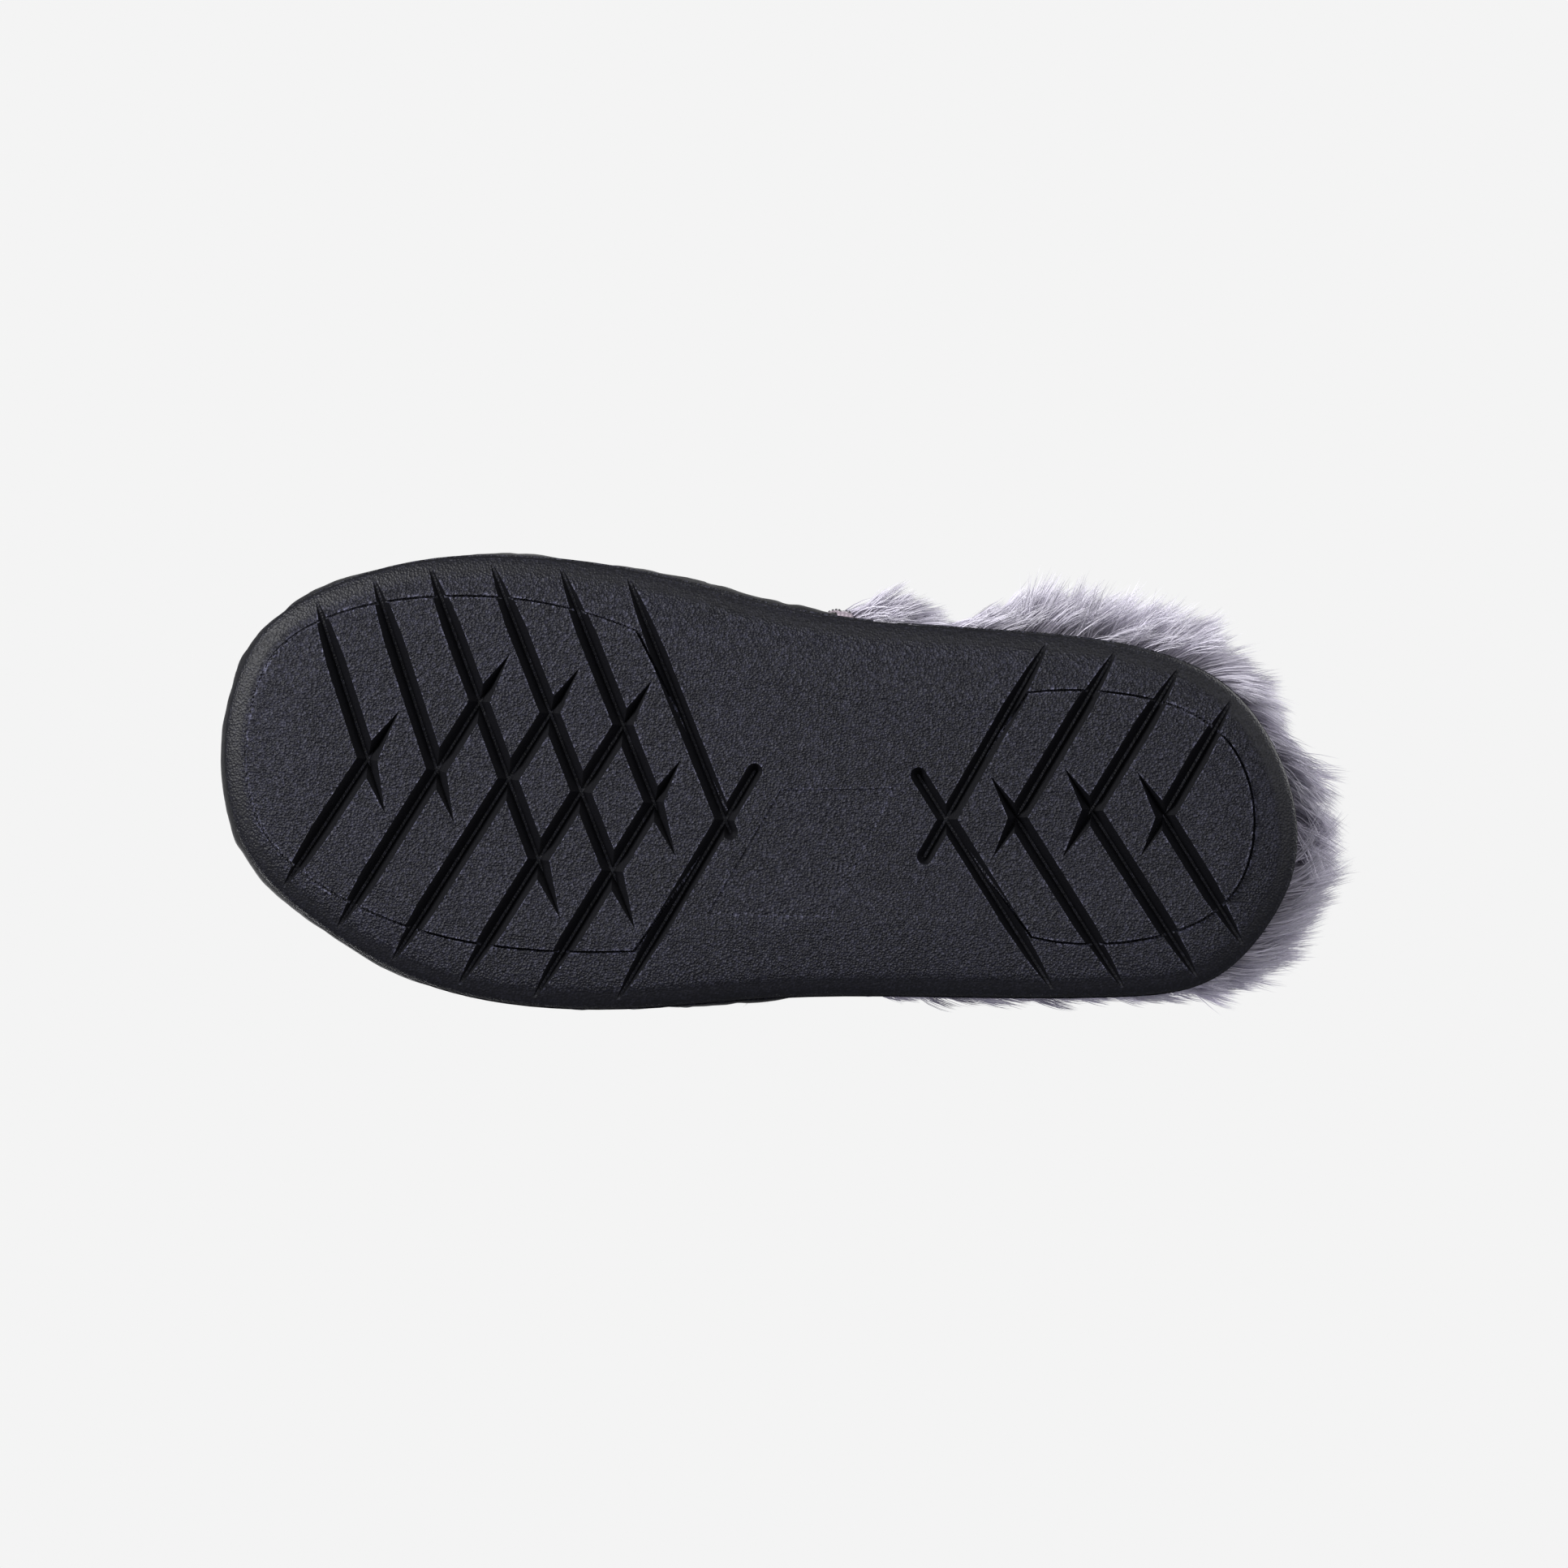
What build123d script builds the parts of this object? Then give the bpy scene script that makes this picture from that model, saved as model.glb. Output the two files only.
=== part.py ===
from build123d import *
from functools import lru_cache
from math import atan2, cos, degrees, hypot, pi, sin
import os

# Fluffy house slipper for the right foot: a moulded rubber cup sole, a smooth fabric vamp and a faux fur
# quarter. +Y points to the toe, +X to the outer side of the foot and +Z up. Sizes are in millimetres.
os.makedirs("parts", exist_ok=True)

# Sole unit
SOLE_HEIGHT = 20.0  # tread to the top of the cup's wall
PAD_STEP = 0.8  # the tread pads stand this far below the rim band
PAD_LINE = 0.6  # width of the sunk line round each pad
PAD_LINE_TOP = 3.0  # the line is cut to this height
PAD_TRIM = 0.05  # the line also takes this much off the pad's own edge
RIM_WIDTH = 20.0  # the underside starts to curve up this far from its edge
RIM_RISE = 5.0
RIM_POWER = 1.7  # shape of that curve: 2 is an ellipse, and less is flatter
RIM_SECTIONS = 7
WALL = 4.0  # thickness of the cup's wall
FLOOR = 8.0  # thickness of the cup's floor, over the deepest groove
LIP_HEIGHT = 2.4
LIP_PROUD = 0.6
LIP_ROUND = 0.7
PANEL_DEPTH = 0.3

# Grooves of the tread
GROOVE_WIDTH = 4.8
GROOVE_DEPTH = 4.0
GROOVE_FLAT = 0.6  # width left at the bottom of the V
SPUR = 14.0  # length over which a groove's inner end thins to a point
OVERRUN = 8.0  # the cutter runs this far past a groove's outer end, where the rim rises out of its reach

# Layers of the upper, each given by its depth inside the outer face of the vamp
GAP = 0.15
SHELL = 1.2
STIFFENER = 1.0
PADDING = 3.0
LINING = 2.5
BINDING = 1.2
TAPE = 0.5
UPPER_INSET = WALL + 0.8  # outer face of the vamp, inside the outline of the sole
UPPER_BASE = 12.3
FULLNESS = 0.7  # how square the upper's sections are: 0.55 is an ellipse
FUR_MEDIAL = 13.0  # thickness of the pile
FUR_LATERAL = 6.5
FUR_CUFF = 8.0
FUR_RISE = 7.0  # how far the pile stands above the topline
FUR_FOOT = SOLE_HEIGHT + 0.6
BINDING_WIDTH = 4.5

# Footbed, from the cup's floor up
MIDSOLE = 3.9
BOARD = 1.5
FOAM = 6.0
SOCK = 2.6
FOAM_CHAMFER = 2.2
BED_PLAY = 1.4  # room between the footbed and the lining
STITCH_PITCH = 5.0
STITCH_LENGTH = 3.2
STITCH_RADIUS = 0.4

# Reach of the stiffeners and of the tape
PUFF_FROM = 88.0
COUNTER_TO = -70.0
COUNTER_TOP = 44.0
TAPE_WIDTH = 14.0

# Stations along the foot: y, inner edge of the sole, outer edge of the sole, crown height of the upper
STATIONS = [
    (132.0, -20.0, 9.0, 35),
    (126.0, -33.4, 22.9, 43),
    (108.0, -46.6, 38.6, 52),
    (84.0, -54.2, 50.6, 59),
    (54.0, -55.9, 55.6, 68),
    (24.0, -52.7, 54.1, 79),
    (-6.0, -47.0, 49.9, 92),
    (-36.0, -45.1, 47.6, 100),
    (-66.0, -44.8, 46.2, 103),
    (-92.0, -42.6, 44.3, 101),
    (-114.0, -34.1, 38.7, 98),
    (-126.0, -20.3, 26.3, 95),
    (-131.6, -7.5, 15.0, 92),
]

# Side view, as (y, z): the edge of the foot opening, and the seam between vamp and quarter
TOPLINE = [(-170, 82), (-118, 71), (-80, 64), (-42, 60), (-12, 63), (10, 74), (24, 90), (34, 125)]
SEAM_FOOT = (-18, SOLE_HEIGHT)
SEAM_TOP = (-2, 64)
CUFF_WIDTH = 20.0
COLLAR_WIDTH = 15.0
HEEL_SEAM = 3.8  # x of the joint at the back of the heel
FAR = 200.0  # past everything

# Plan view, as (x, y): the two tread pads, each closed by the grooves beside the shank, and the blank panel
FOREFOOT_PAD = [
    (-38.7, 33.5), (-44.6, 62), (-43.9, 84.2), (-38.6, 106.5), (-28.1, 121.7), (-8, 127.6),
    (14.3, 122.9), (30.8, 102.3), (40.1, 68.7), (39.8, 29.4),
]  # fmt: skip
FOREFOOT_APEX = (5.2, 7.9)
HEEL_PAD = [
    (-29.4, -64.1), (-29.9, -92), (-21.2, -112.9), (-2.9, -121.2),
    (18, -116.2), (28.1, -99.8), (30.3, -68.6),
]  # fmt: skip
HEEL_APEX = (2.4, -45.4)
PANEL = [(-1.9, -4.4), (-4, -32.2), (28.7, -18.5), (29.7, 11.7)]

# Grooves in plan, each as its outer end on the rim and its inner end. Pointed ones thin out inwards.
POINTED_GROOVES = [
    ((-42.4, 113.0), (10.0, 92.4)), ((-47.9, 98.9), (11.2, 75.3)), ((-51.2, 85.1), (33.3, 47.7)),
    ((-53.1, 70.0), (34.6, 29.2)), ((-51.8, 52.3), (16.2, 20.3)),
    ((30.5, 117.0), (-15.8, 90.4)), ((39.3, 102.8), (-31.4, 64.1)), ((45.2, 88.0), (-29.1, 46.7)),
    ((48.9, 70.6), (-27.1, 28.7)), ((51.0, 52.0), (-8.0, 20.4)),
    ((-39.5, -84.1), (11.7, -57.6)), ((-36.2, -99.9), (10.6, -74.8)), ((-29.9, -113.8), (9.0, -94.1)),
    ((38.4, -89.5), (-8.5, -55.9)), ((34.6, -107.5), (-11.6, -74.0)), ((27.5, -119.5), (-11.9, -91.8)),
]  # fmt: skip
BLUNT_GROOVES = [
    ((-51.0, 35.8), (9.2, 7.3)), ((51.6, 32.1), (-6.1, 2.2)),
    ((-39.6, -66.7), (12.3, -41.0)), ((39.6, -71.9), (-7.6, -38.2)),
]  # fmt: skip


pieces = {}


def save(part, label):
    """Labels a finished piece and keeps it until all are made."""
    part.label = label
    pieces[label] = part


def inset_ring(inset):
    """The sole's outline as points, heel to toe up the outer side and back, moved in by inset.

    The inset is a distance, or a function that gives it at a point.
    """
    outer = [(lateral, y) for y, medial, lateral, crown in reversed(STATIONS)]
    inner = [(medial, y) for y, medial, lateral, crown in STATIONS]
    ring = outer + inner
    moved = []
    for i, (x, y) in enumerate(ring):
        before, after = ring[i - 1], ring[(i + 1) % len(ring)]
        run, rise = after[0] - before[0], after[1] - before[1]
        amount = inset(x, y) if callable(inset) else inset
        shift = amount / hypot(run, rise)
        moved.append((x - shift * rise, y + shift * run))
    return moved


def outline(inset):
    """Face of the sole's outline, moved in by inset."""
    with BuildSketch() as plan:
        with BuildLine():
            Spline(*inset_ring(inset), periodic=True)
        make_face()
    return plan.sketch


def section(medial, lateral, crown, skirt):
    """Arched section of the upper in a vertical plane through two points on its lower edge."""
    across = Vector(lateral[0] - medial[0], lateral[1] - medial[1])
    half = across.length / 2
    middle = (Vector(*medial) + Vector(*lateral)) / 2
    plane = Plane(origin=middle, x_dir=across, z_dir=across.cross(Vector(0, 0, 1)))
    shoulder = UPPER_BASE + FULLNESS * (crown - UPPER_BASE)
    with BuildSketch(plane) as cut:
        with BuildLine():
            for side in (-1, 1):
                foot, top = (side * half, UPPER_BASE), (0, crown)
                Bezier(foot, (side * half, shoulder), (side * half * FULLNESS, crown), top)
            low = UPPER_BASE - skirt
            Polyline((half, UPPER_BASE), (half, low), (-half, low), (-half, UPPER_BASE))
        make_face()
    return cut.sketch.faces()[0]


@lru_cache
def envelope(depth, skirt=0.01):
    """Solid inside the upper's outer face, depth further in. A skirt runs it on below the lower edge.

    The depth is a distance, or a function that gives it at a point.
    """
    inset = (lambda x, y: UPPER_INSET + depth(x, y)) if callable(depth) else UPPER_INSET + depth
    rise = 0 if callable(depth) else depth
    ring = inset_ring(inset)
    count = len(STATIONS)
    sections = []
    for i, station in enumerate(STATIONS):
        lateral, medial = ring[count - 1 - i], ring[count + i]
        sections.append(section(medial, lateral, station[3] - rise, skirt))
    with BuildPart() as body:
        loft(sections)
    return body.part


def side_block(points):
    """Straight sided block across the whole slipper from an outline in side view."""
    with BuildPart() as block:
        with BuildSketch(Plane.YZ):
            with BuildLine():
                Polyline(*points, close=True)
            make_face()
        extrude(amount=FAR, both=True)
    return block.part


def above_topline(drop=0.0):
    """Everything above the edge of the foot opening, or above a line drop lower and further forward."""
    edge = [(y + drop * 0.55, z - drop) for y, z in TOPLINE]
    with BuildPart() as block:
        with BuildSketch(Plane.YZ):
            with BuildLine():
                Spline(*edge)
                Polyline(edge[-1], (edge[-1][0], FAR), (edge[0][0], FAR), edge[0])
            make_face()
        extrude(amount=FAR, both=True)
    return block.part


def seam_at(height, shift=0.0):
    """Point of the side seam in side view at a height, moved forwards by shift."""
    slope = (SEAM_TOP[0] - SEAM_FOOT[0]) / (SEAM_TOP[1] - SEAM_FOOT[1])
    return (SEAM_FOOT[0] + slope * (height - SEAM_FOOT[1]) + shift, height)


def front(shift=0.0):
    """Block in front of the side seam."""
    return side_block([seam_at(-FAR, shift), (FAR, -FAR), (FAR, FAR), seam_at(FAR, shift)])


def rear(shift=0.0):
    """Block behind the side seam."""
    return side_block([seam_at(-FAR, shift), (-FAR, -FAR), (-FAR, FAR), seam_at(FAR, shift)])


def side_of(sign):
    """Block of the inner side of the foot, or with sign 1 of the outer side."""
    with BuildPart() as block:
        with Locations((HEEL_SEAM + sign * (FAR + GAP) / 2, 0, 0)):
            Box(FAR, 2 * FAR, 2 * FAR)
    return block.part


def room(x_range, y_range, z_range):
    """Block between the given limits."""
    size = [high - low for low, high in (x_range, y_range, z_range)]
    middle = [(low + high) / 2 for low, high in (x_range, y_range, z_range)]
    with BuildPart() as block:
        with Locations(tuple(middle)):
            Box(*size)
    return block.part


def layer(outer, inner, keep, cut):
    """Shell of the upper between two depths, inside every keep block and outside every cut block."""
    outside, inside = envelope(outer), envelope(inner, skirt=5)
    with BuildPart() as shell:
        add(outside)
        add(inside, mode=Mode.SUBTRACT)
        for block in keep:
            add(block, mode=Mode.INTERSECT)
        for block in cut:
            add(block, mode=Mode.SUBTRACT)
    return shell.part


# ---- outsole ----
def rim_body(rise):
    """The cup without its lip and hollow. Its underside is flat at the given height and curves up to the wall."""
    with BuildPart() as body:
        for i in range(RIM_SECTIONS):
            angle = i / (RIM_SECTIONS - 1) * pi / 2
            inset = RIM_WIDTH * (1 - sin(angle) ** (2 / RIM_POWER))
            height = RIM_RISE * (1 - cos(angle) ** (2 / RIM_POWER))
            with BuildSketch(Plane.XY.offset(rise + height)):
                add(outline(LIP_PROUD + inset))
        loft()
        with BuildSketch(Plane.XY.offset(rise + RIM_RISE)):
            add(outline(LIP_PROUD))
        extrude(amount=SOLE_HEIGHT - rise - RIM_RISE)
    return body.part


def groove_polygon(length, half_width, spur):
    """Plan of a groove along +X: square at its outer end, pointed at its inner end."""
    return [(-OVERRUN, -half_width), (length - spur, -half_width), (length, 0),
            (length - spur, half_width), (-OVERRUN, half_width)]  # fmt: skip


def groove_plane(start, end, height):
    """Level plane whose +X runs along a groove from its outer end."""
    return Plane(origin=(*start, height), x_dir=(end[0] - start[0], end[1] - start[1], 0), z_dir=(0, 0, 1))


HALF_TOP = GROOVE_WIDTH / 2
HALF_BOTTOM = GROOVE_FLAT / 2
FLANK = (HALF_TOP - HALF_BOTTOM) / GROOVE_DEPTH
CLEAR = 1.0  # the cutter starts this far below the tread


def pointed_cutter(start, end):
    """V cutter whose inner end rises to a point, as a tapering cut leaves it."""
    length = hypot(end[0] - start[0], end[1] - start[1])
    wide = HALF_TOP + FLANK * CLEAR
    stretch = SPUR / HALF_TOP
    with BuildPart() as cutter:
        for height, half in ((-CLEAR, wide), (GROOVE_DEPTH, HALF_BOTTOM)):
            tip = length - SPUR + half * stretch
            with BuildSketch(groove_plane(start, end, height)):
                with BuildLine():
                    Polyline(*groove_polygon(tip, half, half * stretch), close=True)
                make_face()
        loft(ruled=True)
    return cutter.part


def blunt_cutter(start, end):
    """V cutter with a round inner end."""
    length = hypot(end[0] - start[0], end[1] - start[1])
    wide = HALF_TOP + FLANK * CLEAR
    with BuildPart() as cutter:
        for height, half in ((-CLEAR, wide), (GROOVE_DEPTH, HALF_BOTTOM)):
            with BuildSketch(groove_plane(start, end, height)):
                with BuildLine():
                    Polyline((-OVERRUN, -half), (length, -half), (length, half), (-OVERRUN, half), close=True)
                make_face()
        loft(ruled=True)
        with Locations((*end, (GROOVE_DEPTH - CLEAR) / 2)):
            Cone(bottom_radius=wide, top_radius=HALF_BOTTOM, height=GROOVE_DEPTH + CLEAR)
    return cutter.part


pointed_cutters = [pointed_cutter(start, end) for start, end in POINTED_GROOVES]
blunt_cutters = [blunt_cutter(start, end) for start, end in BLUNT_GROOVES]

def pad_plan(grow):
    """Plan of both tread pads, each grown outwards from its middle."""
    with BuildSketch() as plan:
        for edge, apex in ((FOREFOOT_PAD, FOREFOOT_APEX), (HEEL_PAD, HEEL_APEX)):
            middle = sum((Vector(*point) for point in edge), Vector()) / len(edge)
            ring = [Vector(*point) + (Vector(*point) - middle).normalized() * grow for point in (*edge, apex)]
            with BuildLine():
                Spline(*ring[:-1])
                Polyline(ring[-2], ring[-1], ring[0])
            make_face()
    return plan.sketch


with BuildPart() as tread_pads:
    with BuildSketch():
        add(pad_plan(0))
    extrude(amount=RIM_RISE)
    add(rim_body(0), mode=Mode.INTERSECT)

with BuildPart() as outsole:
    add(rim_body(PAD_STEP))
    with BuildSketch(Plane.XY.offset(SOLE_HEIGHT - LIP_HEIGHT)):
        add(outline(0))
    extrude(amount=LIP_HEIGHT)
    fillet(outsole.edges().group_by(Axis.Z)[-1], radius=LIP_ROUND)
    add(tread_pads)
    with BuildSketch():
        add(pad_plan(PAD_LINE))
        add(pad_plan(-PAD_TRIM), mode=Mode.SUBTRACT)
    extrude(amount=PAD_LINE_TOP, mode=Mode.SUBTRACT)
    with BuildSketch(Plane.XY.offset(FLOOR)):
        add(outline(WALL))
    extrude(amount=SOLE_HEIGHT, mode=Mode.SUBTRACT)
    with BuildSketch():
        with BuildLine():
            Polyline(*PANEL, close=True)
        make_face()
    extrude(amount=PAD_STEP + PANEL_DEPTH, mode=Mode.SUBTRACT)
    for cutter in pointed_cutters + blunt_cutters:
        add(cutter, mode=Mode.SUBTRACT)
save(outsole.part, "outsole")


# ---- footbed ----
with BuildPart() as midsole_foam:
    with BuildSketch(Plane.XY.offset(FLOOR + GAP)):
        add(outline(WALL + GAP))
    extrude(amount=MIDSOLE)
save(midsole_foam.part, "midsole_foam")

UPPER_THICK = SHELL + PADDING + LINING + 2 * GAP
BED_INSET = UPPER_INSET + UPPER_THICK + BED_PLAY
BOARD_BOTTOM = FLOOR + MIDSOLE + 2 * GAP
FOAM_BOTTOM = BOARD_BOTTOM + BOARD + GAP
SOCK_BOTTOM = FOAM_BOTTOM + FOAM + GAP

with BuildPart() as insole_board:
    with BuildSketch(Plane.XY.offset(BOARD_BOTTOM)):
        add(outline(BED_INSET))
    extrude(amount=BOARD)
save(insole_board.part, "insole_board")

with BuildPart() as footbed_foam:
    with BuildSketch(Plane.XY.offset(FOAM_BOTTOM)):
        add(outline(BED_INSET))
    extrude(amount=FOAM)
    chamfer(footbed_foam.edges().group_by(Axis.Z)[0], length=FOAM_CHAMFER)
save(footbed_foam.part, "footbed_foam")

with BuildPart() as sock_liner:
    with BuildSketch(Plane.XY.offset(SOCK_BOTTOM)):
        add(outline(BED_INSET))
    extrude(amount=SOCK)
    fillet(sock_liner.edges().group_by(Axis.Z)[-1], radius=SOCK / 2)
save(sock_liner.part, "sock_liner")

with BuildLine(Plane.XY.offset(FOAM_BOTTOM + STITCH_RADIUS + GAP)) as strobel_path:
    Spline(*inset_ring(BED_INSET + STITCH_RADIUS), periodic=True)
path = strobel_path.edges()[0]
count = int(path.length / STITCH_PITCH)
with BuildPart() as strobel_stitches:
    for i in range(count):
        with Locations(path.location_at(i / count)):
            Cylinder(radius=STITCH_RADIUS, height=STITCH_LENGTH)
save(strobel_stitches.part, "strobel_stitches")

# ---- depths of the layers ----
PADDING_OUT = SHELL + GAP
PADDING_IN = PADDING_OUT + PADDING
LINING_OUT = PADDING_IN + GAP
LINING_IN = LINING_OUT + LINING
STIFFENER_IN = PADDING_OUT + STIFFENER
EVERYWHERE = (-FAR, FAR)
opening = above_topline()

# ---- front of the upper ----
in_front = front(GAP / 2)
vamp = layer(0, SHELL, keep=[in_front], cut=[opening])
save(vamp, "vamp")

toe_room = room(EVERYWHERE, (PUFF_FROM, FAR), EVERYWHERE)
toe_puff = layer(PADDING_OUT, STIFFENER_IN, keep=[toe_room], cut=[])
save(toe_puff, "toe_puff")

toe_pocket = layer(
    PADDING_OUT - GAP, STIFFENER_IN + GAP,
    keep=[room(EVERYWHERE, (PUFF_FROM - GAP, FAR), EVERYWHERE)], cut=[],
)  # fmt: skip
vamp_padding = layer(PADDING_OUT, PADDING_IN, keep=[in_front], cut=[opening, toe_pocket])
save(vamp_padding, "vamp_padding")

vamp_lining = layer(LINING_OUT, LINING_IN, keep=[in_front], cut=[opening])
save(vamp_lining, "vamp_lining")

# ---- back of the upper ----
behind = rear(-GAP / 2)
collar_room = above_topline(COLLAR_WIDTH)
heel_room = room(EVERYWHERE, (-FAR, COUNTER_TO), (0, COUNTER_TOP))
tape_x = (HEEL_SEAM - TAPE_WIDTH / 2, HEEL_SEAM + TAPE_WIDTH / 2)
tape_room = room(tape_x, (-FAR, -100), (0, COUNTER_TOP))

heel_counter = layer(PADDING_OUT, STIFFENER_IN, keep=[heel_room], cut=[])
save(heel_counter, "heel_counter")

back_seam_tape = layer(PADDING_IN - TAPE, PADDING_IN, keep=[tape_room], cut=[])
save(back_seam_tape, "back_seam_tape")

counter_pocket = layer(
    PADDING_OUT - GAP, STIFFENER_IN + GAP,
    keep=[room(EVERYWHERE, (-FAR, COUNTER_TO + GAP), (0, COUNTER_TOP + GAP))], cut=[],
)  # fmt: skip
tape_pocket = layer(
    PADDING_IN - TAPE - GAP, PADDING_IN + GAP,
    keep=[room((tape_x[0] - GAP, tape_x[1] + GAP), (-FAR, -100), (0, COUNTER_TOP + GAP))], cut=[],
)  # fmt: skip
quarter_padding = layer(
    PADDING_OUT, PADDING_IN,
    keep=[behind], cut=[above_topline(COLLAR_WIDTH + GAP), counter_pocket, tape_pocket],
)  # fmt: skip
save(quarter_padding, "quarter_padding")

collar_foam = layer(PADDING_OUT, PADDING_IN, keep=[behind, collar_room], cut=[opening])
save(collar_foam, "collar_foam")

quarter_lining = layer(LINING_OUT, LINING_IN, keep=[behind], cut=[opening])
save(quarter_lining, "quarter_lining")


# ---- fur ----
def pile_depth(x, y):
    """How far the pile's outer face lies inside the vamp's: less than nothing, since it stands out."""
    to_heel = min(max((-y - 92) / 34, 0), 1)
    to_front = min(max((y + 66) / 60, 0), 1)
    if x < HEEL_SEAM:
        return -(FUR_MEDIAL - 5 * to_front)
    return -(FUR_LATERAL + (FUR_MEDIAL - FUR_LATERAL) * to_heel)


half_binding = BINDING_WIDTH / 2 + GAP
above_sole = room(EVERYWHERE, EVERYWHERE, (FUR_FOOT, FAR))
pile_room = rear(-half_binding)
pile_top = above_topline(-FUR_RISE)
for label, sign in (("fur_quarter_medial", -1), ("fur_quarter_lateral", 1)):
    pile = layer(pile_depth, SHELL, keep=[above_sole, pile_room, side_of(sign)], cut=[pile_top])
    backing = layer(0, SHELL, keep=[behind, side_of(sign)], cut=[opening])
    with BuildPart() as fur_quarter:
        add(pile)
        add(backing)
    save(fur_quarter.part, label)

cuff_room = [above_sole, front(half_binding), above_topline(CUFF_WIDTH)]
fur_throat_cuff = layer(-FUR_CUFF, -GAP, keep=cuff_room, cut=[opening])
save(fur_throat_cuff, "fur_throat_cuff")

# ---- side bindings and their stitches ----
binding_room = [above_sole, rear(BINDING_WIDTH / 2), front(-BINDING_WIDTH / 2)]
for label, sign in (("side_binding_medial", -1), ("side_binding_lateral", 1)):
    side_binding = layer(-BINDING - GAP, -GAP, keep=[*binding_room, side_of(sign)], cut=[opening])
    save(side_binding, label)

SEAM_STITCH_RADIUS = 0.25
SEAM_STITCH_LENGTH = 2.6
SEAM_STITCH_ROWS = (-1.4, 1.4)
SEAM_STITCHES = 9


def seam_point(side, climb, row):
    """Point just outside a side binding, part of the way up the seam, beside its middle by row."""
    near = STATIONS.index(min(STATIONS, key=lambda station: abs(station[0] - SEAM_FOOT[0] / 2)))
    y, medial, lateral, crown = STATIONS[near]
    proud = BINDING + 2 * GAP + 2 * SEAM_STITCH_RADIUS
    half = (lateral - medial) / 2 - UPPER_INSET + proud
    flat = 1 - climb
    width = flat**3 + 3 * flat**2 * climb + 3 * flat * climb**2 * FULLNESS
    rise = 3 * flat**2 * climb * FULLNESS + 3 * flat * climb**2 + climb**3
    height = UPPER_BASE + (crown + proud - UPPER_BASE) * rise
    return ((lateral + medial) / 2 + side * half * width, *seam_at(height, row))


lean = -degrees(atan2(SEAM_TOP[0] - SEAM_FOOT[0], SEAM_TOP[1] - SEAM_FOOT[1]))
with BuildPart() as seam_stitches:
    for side in (-1, 1):
        for row in SEAM_STITCH_ROWS:
            for step in range(SEAM_STITCHES):
                with Locations(Location(seam_point(side, 0.09 + 0.026 * step, row), (lean, 0, 0))):
                    Cylinder(radius=SEAM_STITCH_RADIUS, height=SEAM_STITCH_LENGTH)
save(seam_stitches.part, "seam_stitches")


# ---- common frame: the origin lies on the ground under the middle of the whole slipper ----
boxes = [part.bounding_box() for part in pieces.values()]
low = Vector(*(min(getattr(box.min, axis) for box in boxes) for axis in "XYZ"))
high = Vector(*(max(getattr(box.max, axis) for box in boxes) for axis in "XYZ"))
middle = (low + high) / 2
print(f"origin at x {middle.X:.3f}, y {middle.Y:.3f}")
to_frame = Location((-middle.X, -middle.Y, -low.Z))
for label, part in pieces.items():
    placed = part.moved(to_frame)
    placed.label = label
    export_step(placed, f"parts/{label}.step")
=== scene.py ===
import math
import bmesh
import bpy
import numpy as np
from mathutils import Matrix, Vector


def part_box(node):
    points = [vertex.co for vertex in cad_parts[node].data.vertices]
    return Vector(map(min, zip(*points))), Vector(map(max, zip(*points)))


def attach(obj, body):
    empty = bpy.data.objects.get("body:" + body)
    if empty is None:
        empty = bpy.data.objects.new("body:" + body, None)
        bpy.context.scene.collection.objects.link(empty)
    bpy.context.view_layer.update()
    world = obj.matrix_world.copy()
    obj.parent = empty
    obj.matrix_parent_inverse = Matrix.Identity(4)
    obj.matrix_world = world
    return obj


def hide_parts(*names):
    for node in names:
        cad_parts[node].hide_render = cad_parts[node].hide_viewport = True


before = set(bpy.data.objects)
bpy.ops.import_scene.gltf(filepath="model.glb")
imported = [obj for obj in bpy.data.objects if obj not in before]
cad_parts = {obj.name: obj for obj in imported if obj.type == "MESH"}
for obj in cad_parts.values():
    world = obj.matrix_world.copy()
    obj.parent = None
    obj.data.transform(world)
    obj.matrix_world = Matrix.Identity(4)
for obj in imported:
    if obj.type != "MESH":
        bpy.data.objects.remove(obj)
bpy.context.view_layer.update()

MM = 0.001
MEDIAL, LATERAL = -1, 1
rng = np.random.default_rng(7)

# ---------------------------------------------------------------- shape of the slipper, in millimetres
# Stations along the foot: y, inner edge of the sole, outer edge of the sole, crown height of the upper
STATIONS = [
    (132.0, -20.0, 9.0, 35), (126.0, -33.4, 22.9, 43), (108.0, -46.6, 38.6, 52),
    (84.0, -54.2, 50.6, 59), (54.0, -55.9, 55.6, 68), (24.0, -52.7, 54.1, 79),
    (-6.0, -47.0, 49.9, 92), (-36.0, -45.1, 47.6, 100), (-66.0, -44.8, 46.2, 103),
    (-92.0, -42.6, 44.3, 101), (-114.0, -34.1, 38.7, 98), (-126.0, -20.3, 26.3, 95),
    (-131.6, -7.5, 15.0, 92),
]
TOPLINE = [(-170, 82), (-118, 71), (-80, 64), (-42, 60), (-12, 63), (10, 74), (24, 90), (34, 125)]
TOE_CROWN = 28.0
HEEL_CROWN = 90.0
UPPER_INSET = 4.8
UPPER_BASE = 12.3
UPPER_FOOT = 15.0  # the visible upper starts here, inside the cup
FULLNESS = 0.7
SEAM_FOOT = (-18.0, 20.0)
SEAM_TOP = (-2.0, 64.0)
SOLE_TOP = 20.0
FOOTBED_TOP = 22.6
LINING_DEPTH = 7.0
LINING_THICK = 2.3
BED_INSET = 13.2
BED_THICK = 2.5
SWELL_FRONT = 5.9  # the padded upper swells out over the lip, at the front and at the heel
SWELL_HEEL = 2.6
SWELL_TOE = 1.4  # and this much more at the corners of the toe
SWELL_STARTS = {MEDIAL: -46, LATERAL: -30}  # y where the swelling grows to its front width, on each side
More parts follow.
